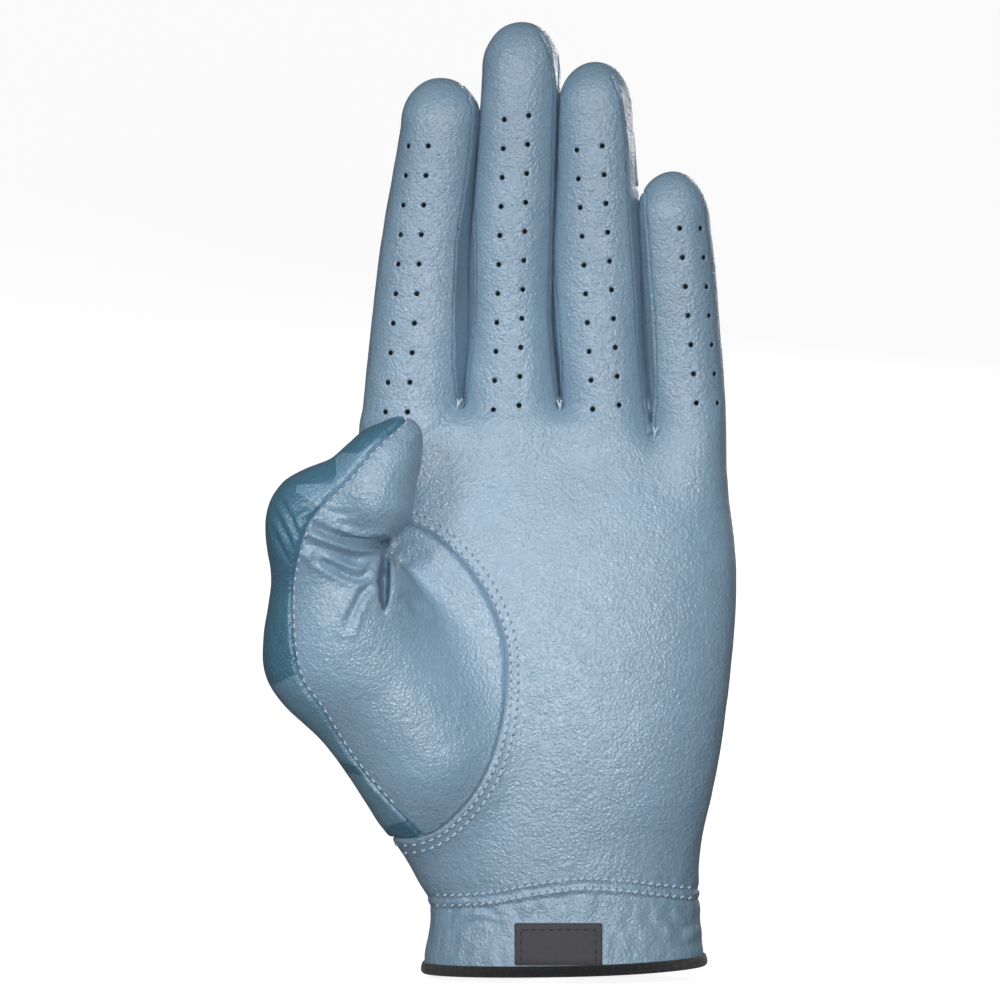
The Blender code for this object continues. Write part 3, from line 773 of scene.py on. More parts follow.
def distance_to_seam(points, faces, labels):
    """Distance from each point to the nearest edge between two labels, up to 2 mm."""
    edges = np.concatenate([faces[:, [0, 1]], faces[:, [1, 2]], faces[:, [2, 0]]])
    edges = np.sort(edges, axis=1)
    owner = np.concatenate([labels] * 3)
    order = np.lexsort(edges.T)
    edges, owner = edges[order], owner[order]
    seam = edges[1:][(edges[1:] == edges[:-1]).all(1) & (owner[1:] != owner[:-1])]
    middle = points[seam].mean(1)
    tree = kdtree.KDTree(len(middle))
    for i, place in enumerate(middle):
        tree.insert(place, i)
    tree.balance()
    result = np.full(len(points), 2.0)
    for i, place in enumerate(points):
        _, _, gap = tree.find(place)
        if gap is None or gap > 2.0:
            continue
        for _, k, _ in tree.find_n(place, 3):
            a, b = points[seam[k, 0]], points[seam[k, 1]]
            d = b - a
            t = min(max(float((place - a) @ d / (d @ d + 1e-12)), 0.0), 1.0)
            away = place - a - t * d
            result[i] = min(result[i], math.sqrt(float(away @ away)))
    return result


def seam_roll(distance, radius):
    """How far leather turns in at a sewn edge."""
    inward = np.clip(radius - distance, 0.0, radius)
    return radius - np.sqrt(radius**2 - inward**2)


# ---------------------------------------------------------------- materials


def linear(red, green, blue):
    """A colour of 0 to 255 as Blender's linear light."""
    return [((v / 255 + 0.055) / 1.055) ** 2.4 for v in (red, green, blue)] + [1.0]


class Look:
    """A material being built from a Principled shader and textures in millimetres."""

    def __init__(self, name, color, roughness, specular=0.5, sheen=0.0):
        self.material = bpy.data.materials.new(name)
        self.material.use_nodes = True
        self.nodes = self.material.node_tree.nodes
        self.shader = self.nodes["Principled BSDF"]
        self.shader.inputs["Base Color"].default_value = linear(*color)
        self.shader.inputs["Roughness"].default_value = roughness
        self.shader.inputs["Specular IOR Level"].default_value = specular
        self.shader.inputs["Sheen Weight"].default_value = sheen
        self.shader.inputs["Sheen Roughness"].default_value = 0.5
        self.place = self.nodes.new("ShaderNodeAttribute")
        self.place.attribute_name = "rest_mm"
        self.color = linear(*color)

    def link(self, output, target):
        self.material.node_tree.links.new(output, target)

    def noise(self, per_mm, detail=3.0):
        node = self.nodes.new("ShaderNodeTexNoise")
        node.inputs["Scale"].default_value = per_mm
        node.inputs["Detail"].default_value = detail
        self.link(self.place.outputs["Vector"], node.inputs["Vector"])
        return node.outputs["Fac"]

    def cells(self, per_mm):
        node = self.nodes.new("ShaderNodeTexVoronoi")
        node.feature = "DISTANCE_TO_EDGE"
        node.inputs["Scale"].default_value = per_mm
        self.link(self.place.outputs["Vector"], node.inputs["Vector"])
        return node.outputs["Distance"]

    def ribs(self, direction, per_mm):
        node = self.nodes.new("ShaderNodeTexWave")
        node.bands_direction = direction
        node.inputs["Scale"].default_value = per_mm
        self.link(self.place.outputs["Vector"], node.inputs["Vector"])
        return node.outputs["Fac"]

    def remap(self, value, low, high, start=0.3, end=0.7):
        node = self.nodes.new("ShaderNodeMapRange")
        node.inputs["From Min"].default_value = start
        node.inputs["From Max"].default_value = end
        node.inputs["To Min"].default_value = low
        node.inputs["To Max"].default_value = high
        self.link(value, node.inputs["Value"])
        return node.outputs["Result"]

    def shade(self, value):
        """Multiplies the colour by a value."""
        node = self.nodes.new("ShaderNodeMix")
        node.data_type = "RGBA"
        node.blend_type = "MULTIPLY"
        node.inputs["Factor"].default_value = 1.0
        before = self.shader.inputs["Base Color"]
        if before.is_linked:
            self.link(before.links[0].from_socket, node.inputs["A"])
        else:
            node.inputs["A"].default_value = self.color
        self.link(value, node.inputs["B"])
        self.link(node.outputs["Result"], before)

    def bump(self, value, height_mm, strength=1.0):
        node = self.nodes.new("ShaderNodeBump")
        node.inputs["Strength"].default_value = strength
        node.inputs["Distance"].default_value = height_mm * MM
        before = self.shader.inputs["Normal"]
        if before.is_linked:
            self.link(before.links[0].from_socket, node.inputs["Normal"])
        self.link(value, node.inputs["Height"])
        self.link(node.outputs["Normal"], before)


def leather_look(name, color):
    look = Look(name, color, 0.42, 0.9, 0.05)
    look.shade(look.remap(look.noise(0.05, 2.0), 0.93, 1.05))
    look.shade(look.remap(look.noise(0.9, 4.0), 0.95, 1.04))
    look.shade(look.remap(look.cells(1.0), 0.92, 1.0, 0.0, 0.16))
    look.link(look.remap(look.noise(0.25), 0.32, 0.42), look.shader.inputs["Roughness"])
    look.bump(look.noise(0.3, 3.0), 0.4, 0.6)
    look.bump(look.noise(1.0, 3.0), 0.3, 0.9)
    look.bump(look.cells(1.0), 0.2, 0.9)
    look.bump(look.noise(5.0, 2.0), 0.025, 0.6)
    return look.material


def suede_look(name, color):
    look = Look(name, color, 0.95, 0.1, 0.4)
    look.shade(look.remap(look.noise(2.5, 4.0), 0.8, 1.1))
    look.bump(look.noise(6.0, 3.0), 0.08)
    return look.material


def thread_look(name, color):
    look = Look(name, color, 0.55, 0.4, 0.3)
    look.shade(look.remap(look.noise(7.0, 2.0), 0.8, 1.1))
    look.bump(look.ribs("DIAGONAL", 1.6), 0.05)
    return look.material


def tape_look(name, color, direction):
    look = Look(name, color, 0.85, 0.25, 0.3)
    look.shade(look.remap(look.ribs(direction, 1.1), 0.75, 1.15, 0.0, 1.0))
    look.bump(look.ribs(direction, 1.1), 0.12)
    look.bump(look.noise(6.0, 3.0), 0.05)
    return look.material


def rubber_look(name, color):
    look = Look(name, color, 0.6, 0.35)
    look.shade(look.remap(look.noise(0.6), 0.94, 1.06))
    look.bump(look.noise(7.0, 3.0), 0.03, 0.6)
    return look.material


def pile_look(name, color):
    look = Look(name, color, 0.9, 0.2, 0.5)
    look.shade(look.remap(look.noise(3.5, 4.0), 0.6, 1.25))
    look.bump(look.noise(4.0, 4.0), 0.4)
    return look.material


def plain_look(name, color, roughness):
    return Look(name, color, roughness, 0.2).material


# ---------------------------------------------------------------- mesh objects


def point_normals(points, faces):
    a, b, c = (points[faces[:, k]] for k in range(3))
    flat = np.cross(b - a, c - a)
    total = np.zeros_like(points)
    for k in range(3):
        np.add.at(total, faces[:, k], flat)
    return unit(total)


def mesh_object(name, points, faces, materials, face_material=None, normals=None):
    """An object from points in millimetres. Textures see the points where they are at rest."""
    points = np.asarray(points, float)
    mesh = bpy.data.meshes.new(name)
    mesh.from_pydata((points * MM).tolist(), [], faces)
    for made in materials:
        mesh.materials.append(made)
    if face_material is not None:
        mesh.polygons.foreach_set("material_index", np.asarray(face_material, np.int32))
    mesh.shade_smooth()
    attribute = mesh.attributes.new("rest_mm", "FLOAT_VECTOR", "POINT")
    attribute.data.foreach_set("vector", points.astype(np.float32).ravel())
    if normals is None:
        mesh.set_sharp_from_angle(angle=0.7)
    else:
        mesh.normals_split_custom_set_from_vertices(normals.tolist())
    obj = bpy.data.objects.new(name, mesh)
    bpy.context.scene.collection.objects.link(obj)
    return obj


def open_edges(faces):
    """The edges that only one triangle uses, in the triangle's direction."""
    edges = np.concatenate([faces[:, [0, 1]], faces[:, [1, 2]], faces[:, [2, 0]]])
    _, first, times = np.unique(np.sort(edges, axis=1), axis=0, return_index=True, return_counts=True)
    return edges[first[times == 1]]


def leather_piece(name, points, normals, faces, materials, shade):
    """A sheet of leather with thickness, from its outer face. shade is the material of each outer face."""
    used, faces = np.unique(faces, return_inverse=True)
    faces = faces.reshape(-1, 3)
    outer, normal = points[used], normals[used]
    inner = outer - normal * LEATHER
    rim = open_edges(faces)
    rim_points = np.concatenate([outer[rim[:, 0]], outer[rim[:, 1]], inner[rim[:, 1]], inner[rim[:, 0]]])
    rim_normal = unit(np.cross(outer[rim[:, 1]] - outer[rim[:, 0]], normal[rim[:, 0]]))
    count, turns = len(used), len(rim)
    corner = 2 * count + np.arange(turns)
    rim_faces = np.stack([corner + turns, corner, corner + 3 * turns, corner + 2 * turns], 1)
    inside = len(materials) - 1
    return mesh_object(
        name,
        np.concatenate([outer, inner, rim_points]),
        faces.tolist() + (faces[:, ::-1] + count).tolist() + rim_faces.tolist(),
        materials,
        np.concatenate([shade, np.full(len(faces), inside), np.zeros(turns, int)]),
        np.concatenate([normal, -normal] + [rim_normal] * 4),
    )


def sew(skin, labels, roll):
    """Moves the skin's points in and out for folds, seams and hole edges."""
    normal = unit(gradient(skin.field, skin.points))
    distance = distance_to_seam(skin.points, skin.faces, labels)
    lift = relief(skin.points, normal) * smooth_step(distance / 1.6) - seam_roll(distance, roll) - skin.depth
    return skin.points + normal * lift[:, None]


def cut_out(skin, points, labels, gone, label, name, materials, shade):
    """The leather piece of one label. Normals are taken before the faces past its end go."""
    chosen = labels == label
    normals = point_normals(points, skin.faces[chosen])
    chosen = chosen & ~gone
    return leather_piece(name, points, normals, skin.faces[chosen], materials, shade[chosen])


# ---------------------------------------------------------------- places on the skin


def trace(field, start, direction):
    """Where rays meet the skin."""
    p = start.copy()
    for _ in range(90):
        p += direction * np.clip(field(p) * 0.8, -2.0, 12.0)[:, None]
    return p


def on_front(field, seen):
    """Points on the skin where the camera sees the places (x, z)."""
    seen = np.asarray(seen, float)
    target = np.column_stack([seen[:, 0], np.zeros(len(seen)), seen[:, 1]])
    direction = unit(target - CAMERA)
    return trace(field, CAMERA + direction * (CAMERA_DISTANCE - 70.0), direction)


def on_back(field, places):
    """Points on the back of the skin at (x, z)."""
    places = np.asarray(places, float)
    start = np.column_stack([places[:, 0], np.full(len(places), 45.0), places[:, 1]])
    return trace(field, start, np.array([[0.0, -1.0, 0.0]]))


def skin_frame(field, p):
    """Normals, and the points lifted by the folds and creases there."""
    normal = unit(gradient(field, p))
    return normal, p + normal * relief(p, normal)[:, None]


# ---------------------------------------------------------------- threads, tapes and patches


def tube(path, normals, radius, sides=6):
    """Points and faces of a round bar along a path, closed at its ends."""
    path = np.asarray(path, float)
    along = unit(np.gradient(path, axis=0))
    side = unit(np.cross(along, normals))
    up = np.cross(side, along)
    radius = np.broadcast_to(radius, len(path))
    angles = np.linspace(0, 2 * math.pi, sides, endpoint=False)
    rings = path[:, None] + radius[:, None, None] * (
        np.cos(angles)[None, :, None] * side[:, None] + np.sin(angles)[None, :, None] * up[:, None]
    )
    faces = []
    for i in range(len(path) - 1):
        for k in range(sides):
            a, b = i * sides + k, i * sides + (k + 1) % sides
            faces.append((a, a + sides, b + sides, b))
    last = (len(path) - 1) * sides
    faces.append(tuple(range(sides)))
    faces.append(tuple(last + k for k in reversed(range(sides))))
    return rings.reshape(-1, 3), faces


def dimple(centre, normal, radius, sides=8):
    """A flat button at a needle's hole. In the dark hole material on leather it is painted shade, standing in
    for the shade inside a real hole.
    """
    right = np.cross(normal, [0.3, 0.2, 1.0])
    right /= np.linalg.norm(right)
    up = np.cross(normal, right)
    angles = np.linspace(0, 2 * math.pi, sides, endpoint=False)
    ring = centre + radius * (np.cos(angles)[:, None] * right + np.sin(angles)[:, None] * up)
    points = np.concatenate([ring - normal * 0.3, ring + normal * 0.01, [centre + normal * 0.05]])
    faces = [tuple(reversed(range(sides)))]
    for k in range(sides):
        after = (k + 1) % sides
        faces.append((k, after, sides + after, sides + k))
        faces.append((sides + k, sides + after, 2 * sides))
    return points, faces


class Sewing:
    """Many stitches in one mesh."""

    def __init__(self):
        self.points, self.faces, self.shades = [], [], []
        self.count = 0

    def add(self, points, faces, shade):
        self.points.append(points)
        self.faces += [tuple(k + self.count for k in face) for face in faces]
        self.shades += [shade] * len(faces)
        self.count += len(points)

    def stitch(self, centre, along, normal, length, radius):
        """A thread that rises from one hole of the needle and goes down another. The button at each end takes
        the second material, which on the leather seams is painted shade of the hole.
        """
        share = np.linspace(-1, 1, 7)
        height = 0.55 * radius - (0.6 + radius) * np.abs(share) ** 4
        path = centre + share[:, None] * along * length / 2 + height[:, None] * normal
        self.add(*tube(path, np.tile(normal, (7, 1)), radius), 0)
        # material 1: the buttons at the thread's ends, painted shade of the holes where the stitches sew
        # leather
        for end in (-0.52, 0.52):
            self.add(*dimple(centre + along * length * end, normal, radius * 0.95), 1)

    def row(self, field, p, length, radius, slant=0.0):
        """Stitches centred on points that run along the skin."""
        p = p[np.abs(field(p)) < 0.5]
        normal, p = skin_frame(field, p)
        along = unit(np.gradient(p, axis=0))
        side = np.cross(normal, along)
        along = along * math.cos(slant) + side * math.sin(slant)
        for place in zip(p, along, normal):
            self.stitch(*place, length, radius)

    def row_above(self, field, p, lift, length, radius):
        """Stitches on a slab whose top is a height above the skin."""
        normal = unit(gradient(field, p))
        along = unit(np.gradient(p, axis=0))
        for place in zip(p + lift * normal, along, normal):
            self.stitch(*place, length, radius)

    def make(self, name, materials):
        return mesh_object(name, np.concatenate(self.points), self.faces, materials, self.shades)


def along_line(line, pitch):
    """Points spaced evenly along a line."""
    line = np.asarray(line, float)
    lengths = np.concatenate([[0.0], np.cumsum(np.linalg.norm(np.diff(line, axis=0), axis=1))])
    at = np.arange(pitch / 2, lengths[-1], pitch)
    return np.column_stack([np.interp(at, lengths, line[:, k]) for k in range(line.shape[1])])


def beside(line, offset):
    """A line moved to its left."""
    along = unit(np.gradient(line, axis=0))
    return line + offset * np.column_stack([-along[:, 1], along[:, 0]])


def rounded_grid(x_range, z_range, corner_low, corner_high, across, up):
    """Places (x, z) in a grid whose ends at low and high x are rounded."""
    (x_low, x_high), (z_low, z_high) = x_range, z_range
    half, middle = (z_high - z_low) / 2, (z_high + z_low) / 2
    share = (1 - np.cos(np.linspace(0, math.pi, across))) / 2
    places = []
    for x in x_low + (x_high - x_low) * share:
        reach = half
        for corner, gap in ((corner_low, x - x_low), (corner_high, x_high - x)):
            inward = max(corner - gap, 0.0)
            reach = min(reach, half - corner + math.sqrt(corner**2 - inward**2))
        for z in np.linspace(-max(reach, 0.2), max(reach, 0.2), up):
            places.append((x, middle + z))
    return np.array(places)


def patch(name, field, p, shape, low, high, edge, materials):
    """A slab that follows the skin, from a grid of points on it, between two heights."""
    across, up = shape
    normal = unit(gradient(field, p))
    grid = np.arange(across * up).reshape(shape)
    border = np.concatenate([grid[:, 0], grid[-1, 1:], grid[-2::-1, -1], grid[0, -2:0:-1]])
    flat = p[:, [0, 2]]
    gap = np.abs(distance_to_line(flat, flat[np.append(border, border[0])]))
    height = high - seam_roll(gap, edge)
    top, bottom = p + normal * height[:, None], p + normal * low
    a, b = grid[:-1, :-1].ravel(), grid[1:, :-1].ravel()
    c, d = grid[1:, 1:].ravel(), grid[:-1, 1:].ravel()
    total = len(p)
    upper, lower = np.stack([a, b, c, d], 1), np.stack([a, d, c, b], 1) + total
    after = np.roll(border, -1)
    rim = np.stack([after, border, border + total, after + total], 1)
    if np.dot(np.cross(p[b[0]] - p[a[0]], p[d[0]] - p[a[0]]), normal[a[0]]) < 0:
        upper, lower, rim = upper[:, ::-1], lower[:, ::-1], rim[:, ::-1]
    faces = upper.tolist() + lower.tolist() + rim.tolist()
    return mesh_object(name, np.concatenate([top, bottom]), faces, materials)


def tape(name, path, outward, upward, section, materials):
    """A tape along a path. section is its outline as (out, up) offsets, or one outline for each point."""
    section = np.broadcast_to(section, (len(path), *np.shape(section)[-2:]))
    rings = path[:, None] + section[:, :, :1] * outward[:, None] + section[:, :, 1:] * upward[:, None]
    sides = section.shape[1]
    faces = []
    for i in range(len(path) - 1):
        for k in range(sides):
            a, b = i * sides + k, i * sides + (k + 1) % sides
            faces.append((a, b, b + sides, a + sides))
    last = (len(path) - 1) * sides
    faces.append(tuple(reversed(range(sides))))
    faces.append(tuple(last + k for k in range(sides)))
    points = rings.reshape(-1, 3)
    a, b, c = points[0], points[1], points[sides]
    middle = rings[0].mean(0)
    if np.dot(np.cross(b - a, c - a), a - middle) < 0:
        faces = [tuple(reversed(face)) for face in faces]
    return mesh_object(name, points, faces, materials)


# ---------------------------------------------------------------- the leather pieces

OVAL_LINE = smooth_line(OVAL_SEAM, False)
PRINT_LINE = smooth_line(PRINT_SEAM, False)


def looks():
    """Every material, by name."""
    return {
        "plain": leather_look("plain_leather", (133, 163, 186)),
        "print light": leather_look("printed_leather_light", (112, 152, 177)),
        "print dark": leather_look("printed_leather_dark", (72, 121, 146)),
        "suede": suede_look("leather_inside", (176, 186, 192)),
        "pale thread": thread_look("pale_thread", (196, 217, 232)),
        "dark thread": thread_look("dark_thread", (44, 46, 52)),
        # painted shade: a darker leather colour standing in for the shade inside the holes the stitches go
        # through
        "needle hole shade": plain_look("needle_hole_shade", (88, 110, 128), 0.9),
        "binding": tape_look("binding_tape", (25, 25, 28), "X"),
        "elastic": tape_look("elastic_tape", (205, 208, 212), "Z"),
        "rubber": rubber_look("label_rubber", (62, 62, 69)),
        "pile": pile_look("loop_pile", (52, 54, 58)),
        "hooks": pile_look("hooks", (60, 62, 66)),
        "fray": thread_look("frayed_edge", (150, 168, 180)),
    }


def palm_or_strip_or_back(skin):
    """Label of each face: 0 palm, 1 strip, 2 back."""
    return np.where(~skin.side("front"), 0, np.where(skin.side("back"), 2, 1))


def hole_places(finger):
    """Where the camera sees a finger's air holes."""
    count, top, foot, left, right, rise = finger["holes"]
    share = np.linspace(0.0, 1.0, count)
    height = top + (foot - top) * share
    columns = [(left, 0.0), (right, rise)]
    return [np.column_stack([a + (b - a) * share, height + up]) for (a, b), up in columns]


def punch_holes(skin, finger, low, high):
    places = np.concatenate(hole_places(finger))
    places = places[(places[:, 1] > low) & (places[:, 1] < high)]
    for centre in on_front(skin.field, places):
        skin.punch(centre, HOLE_RADIUS)


def finish(obj, body, nodes):
    """A piece rides on one body; given anything else, its place is baked into its points. The CAD nodes it
    takes the place of are hidden.
    """
    if isinstance(body, str):
        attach(obj, body)
    else:
        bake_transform(obj)
    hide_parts(*nodes)


def make_hand(look):
    """The palm, back, webs and thumb base, cut from one skin."""
    skin = Skin(hand_field, (-78.0, -40.0, -1.4), (46.0, 24.0, 146.0))
    seams = {
        "foot": foot_side,
        "finger cut": finger_cut_side,
        "crease": past_crease,
        "slit": slit_side,
        "oval": oval_side,
        "print": print_side,
        "front": front_side,
        "back": back_side,
        "dark": print_dark,
    }
    for name, seam in seams.items():
        skin.cut(name, seam)
    for finger in FINGERS.values():
        punch_holes(skin, finger, 0.0, FINGER_CUT)
    middle = skin.points[skin.faces].mean(1)
    on_thumb = thumb_field(middle) < smooth_min(palm_field(middle), fingers_field(middle), 1.5)
    past_knuckle = skin.side("crease") & on_thumb
    gone = ~skin.side("foot") | skin.side("finger cut") | ~skin.side("slit") | past_knuckle
    labels = palm_or_strip_or_back(skin)
    thumb = ~skin.side("oval") | past_knuckle
    labels[thumb] = np.where(skin.side("print"), 3, 4)[thumb]
    web = labels == 1
    labels[web & (middle[:, 0] > -13.0)] = 5
    labels[web & (middle[:, 0] > 9.0)] = 6
    shade = skin.side("dark").astype(int)
    plain = [look["plain"], look["suede"]]
    printed = [look["print light"], look["print dark"], look["suede"]]
    points = sew(skin, labels, 1.0)
    pieces = [
        (0, "palm_leather", plain, "palm_panel", "plain_leather"),
        (1, "web_index_middle_leather", plain, "web_gusset_index_middle", "plain_leather"),
        (2, "back_leather", plain, "back_panel", "plain_leather"),
        (3, "thumb_base_palm_leather", plain, "thumb_base_palm_side", "plain_leather"),
        (4, "thumb_base_back_leather", printed, "thumb_base_back", "printed_leather"),
        (5, "web_middle_ring_leather", plain, "web_gusset_middle_ring", "plain_leather"),
        (6, "web_ring_little_leather", plain, "web_gusset_ring_little", "plain_leather"),
    ]
    for label, name, materials, node, slot in pieces:
        tones = shade if len(materials) == 3 else 0 * shade
        obj = cut_out(skin, points, labels, gone, label, name, materials, tones)
        finish(obj, "hand", [node])


def make_finger(name, look):
    """A finger above the hand's cut: its palm leather, back leather and side strips."""
    finger = FINGERS[name]
    left = min(row[1] for row in finger["rows"]) - 3.0
    right = max(row[2] for row in finger["rows"]) + 3.0

    def field(p):
        return finger_field(p, finger)

    skin = Skin(field, (left, -16.0, 140.5), (right, 15.0, finger["tip"] + 2.0))
    skin.cut("finger cut", finger_cut_side)
    skin.cut("front", front_side)
    skin.cut("back", back_side)
    punch_holes(skin, finger, FINGER_CUT, finger["tip"])
    gone = ~skin.side("finger cut")
    labels = palm_or_strip_or_back(skin)
    middle_x = skin.points[skin.faces][:, :, 0].mean(1)
    centre = (finger["rows"][0][1] + finger["rows"][0][2]) / 2
    labels[(labels == 1) & (middle_x > centre)] = 3
    leather = [look["plain"], look["suede"]]
    shade = np.zeros(len(labels), int)
    points = sew(skin, labels, 0.45)
    fold = ("hand", f"{name}_finger", (centre * MM, 0.0, FINGER_CUT * MM), (centre * MM, 0.0, 0.157))
    pieces = [(0, "palm", "palm_side"), (2, "back", "back")]
    if finger["left_seam"]:
        pieces.append((1, "thumb_side", "fourchette_thumb_side"))
    if finger["right_seam"]:
        pieces.append((3, "little_side", "fourchette_little_side"))
    for label, part, node in pieces:
        obj = cut_out(skin, points, labels, gone, label, f"{name}_{part}_leather", leather, shade)
        finish(obj, fold, [f"{name}_{node}"])


def thumb_fold():
    """Where the thumb's leather bends between the hand and the thumb's end."""
    along = (CREASE_INNER - CREASE_OUTER) / np.linalg.norm(CREASE_INNER - CREASE_OUTER)
    start = (CREASE_INNER + CREASE_OUTER) / 2
    end = start + 12.0 * np.array([-along[1], along[0]])
    places = [(x * MM, -0.02, z * MM) for x, z in (start, end)]
    return ("hand", "thumb_end", *places)


def make_thumb_end(look):
    """The thumb past its knuckle crease: plain leather in front, printed leather behind."""
    skin = Skin(thumb_field, (-78.0, -42.0, 98.0), (-28.0, 2.0, 144.0))
    skin.cut("crease", past_crease)
    skin.cut("print", print_side)
    skin.cut("dark", print_dark)
    gone = ~skin.side("crease")
    labels = skin.side("print").astype(int)
    shade = skin.side("dark").astype(int)
    points = sew(skin, labels, 1.0)
    plain = [look["plain"], look["suede"]]
    printed = [look["print light"], look["print dark"], look["suede"]]
    tip = cut_out(skin, points, labels, gone, 1, "thumb_end_palm_leather", plain, 0 * shade)
    finish(tip, thumb_fold(), ["thumb_tip_palm_side"])
    back = cut_out(skin, points, labels, gone, 0, "thumb_end_back_leather", printed, shade)
    finish(back, thumb_fold(), ["thumb_tip_back"])


# ---------------------------------------------------------------- stitching


def sew_oval(look):
    """Two pale rows on the palm, along the seam round the thumb."""
    sewing = Sewing()
    shown = OVAL_LINE[(OVAL_LINE[:, 0] > -44.5)]
    for offset, skipped in ((1.3, 0), (3.1, 2)):
        places = along_line(beside(shown, offset)[skipped:], 2.15)
        sewing.row(hand_field, on_front(hand_field, places), 1.6, 0.27, 0.12)
    finish(sewing.make("oval_seam_stitches", [look["pale thread"], look["needle hole shade"]]), "hand", [])


def sew_wrist(look):
    """Two rows of slanted stitches that hold the elastic inside the cuff."""
    sewing = Sewing()
    top = np.array(WRIST_SEAM_TOP)
    for drop in (0.0, WRIST_SEAM_DROP):
        line = smooth_line([(x, z - drop) for x, z in top], False)
        line = line[(line[:, 0] > -33.0) & (line[:, 0] < 31.8)]
        places = along_line(line, 1.9)
        sewing.row(hand_field, on_front(hand_field, places), 1.5, 0.25, 0.44)
    finish(sewing.make("wrist_elastic_stitches", [look["pale thread"], look["needle hole shade"]]), "hand", [])


def sew_print_seam(look):
    """One row on the plain leather beside the thumb's outer seam, in two parts that meet at the crease."""
    line = beside(PRINT_LINE, 0.95)
    places = along_line(line, 2.3)
    as_points = np.column_stack([places[:, 0], np.zeros(len(places)), places[:, 1]])
    tip = past_crease(as_points) > 0
    base = ~tip & (places[:, 1] > 42.0)
    materials = [look["pale thread"], look["needle hole shade"]]
    sewing = Sewing()
    sewing.row(hand_field, on_front(hand_field, places[base]), 1.5, 0.2)
    finish(sewing.make("thumb_base_seam_stitches", materials), "hand", [])
    sewing = Sewing()
    sewing.row(thumb_field, on_front(thumb_field, places[tip & (places[:, 1] < 140.0)]), 1.5, 0.2)
    finish(sewing.make("thumb_end_seam_stitches", materials), thumb_fold(), [])


def thread_ends(look):
    """Loose ends of thread where the fingers meet."""
    sewing = Sewing()
    share = np.linspace(0.0, 1.0, 6)[:, None]
    rise = np.array([0.0, -0.9, 0.0]) * np.sin(math.pi * share)
    for x, z, turn in [(-26.6, 141.0, 75), (-1.2, 140.6, 95), (21.9, 134.0, 80)]:
        (p,) = on_front(hand_field, [(x, z - 0.8)])
        along = np.array([math.cos(math.radians(turn)), 0.0, math.sin(math.radians(turn))])
        for side in (-0.5, 0.5):
            bend = np.array([side, 0.0, 0.0]) * share**2
            path = p + along * share * 2.4 + bend + rise
            sewing.add(*tube(path, np.tile([0.0, -1.0, 0.1], (6, 1)), 0.24), 0)
    finish(sewing.make("thread_ends", [look["pale thread"]]), "hand", [])


# ---------------------------------------------------------------- trims


def ring_path(height, start, end, count):
    """Points round the cuff at a height that depends on x, and their outward normals."""
    angles = np.linspace(start, end, count)
    out = np.column_stack([np.cos(angles), np.sin(angles), np.zeros(count)])
    p = trace(hand_field, out * [75.0, 75.0, 0.0] + [0.0, 0.0, 3.0], -out)
    p[:, 2] = height(p[:, 0])
    p = trace(hand_field, out * [75.0, 75.0, 0.0] + np.column_stack([0 * angles, 0 * angles, p[:, 2]]), -out)
    normal = gradient(hand_field, p)
    normal[:, 2] = 0.0
    return p, unit(normal)


def slit_angles(gap):
    """Angles, seen from the middle of the cuff, of the slit's two edges moved apart by gap."""
    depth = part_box("hem_binding")[1][1] / MM
    half = SLIT_HALF[0] + gap
    right = math.atan2(depth, SLIT_X + half)
    left = math.atan2(depth, SLIT_X - half)
    return right, left - 2 * math.pi


def make_hem(look):
    """Woven tape folded over the edge of the cuff, with a row of stitches."""
    height = (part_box("hem_binding")[1][2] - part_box("hem_binding")[0][2]) / MM - 0.7

    def foot(x):
        return hem_lift(x) + 1.1

    path, outward = ring_path(foot, *slit_angles(1.3), 260)
    inside = -LEATHER - 0.75
    outline = [
        (inside, height - 0.3), (inside - 0.1, 1.6), (inside - 0.05, 0.5), (inside + 0.5, 0.0), (0.4, -0.05),
        (0.8, 0.3), (0.95, 0.9), (0.8, 1.7), (0.65, height - 0.1), (0.45, height + 0.15), (0.1, height + 0.2),
        (0.05, height - 0.4), (-LEATHER - 0.05, height - 0.5), (-LEATHER - 0.1, height),
    ]
    up = np.tile([0.0, 0.0, 1.0], (len(path), 1))
    hem = tape("hem_binding_tape", path, outward, up, outline, [look["binding"]])
    finish(hem, "hand", ["hem_binding"])
    sewing = Sewing()
    seam, normal = ring_path(lambda x: foot(x) + height - 0.9, *slit_angles(2.0), 1000)
    line = along_line(seam + normal * 0.72, 2.0)
    along = unit(np.gradient(line, axis=0))
    sides = unit(np.cross(along, np.tile([0.0, 0.0, 1.0], (len(line), 1))))
    sides *= np.sign((sides * line).sum(1))[:, None]
    for place in zip(line, along, sides):
        sewing.stitch(*place, 1.2, 0.16)
    finish(sewing.make("hem_stitches", [look["dark thread"], look["binding"]]), "hand", [])


def make_elastic(look):
    """Ribbed elastic sewn inside the cuff."""
    low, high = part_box("wrist_elastic")
    count = 700
    path, outward = ring_path(lambda x: 0 * x + low[2] / MM, *slit_angles(2.6), count)
    height = (high[2] - low[2]) / MM
    up = np.tile([0.0, 0.0, 1.0], (count, 1))
    rib = 0.12 * np.sin(np.arange(count) * 2 * math.pi / 6)
    outline = np.array([
        (-0.12, 0.0), (-0.12, height), (-0.6, height), (-0.72, height - 0.4), (-0.72, 0.4), (-0.6, 0.0),
    ])
    outline[:, 0] -= LEATHER
    outlines = np.repeat(outline[None], count, 0)
    outlines[:, 2:, 0] += rib[:, None]
    band = tape("elastic_band", path, outward, up, outlines, [look["elastic"]])
    finish(band, "hand", ["wrist_elastic"])


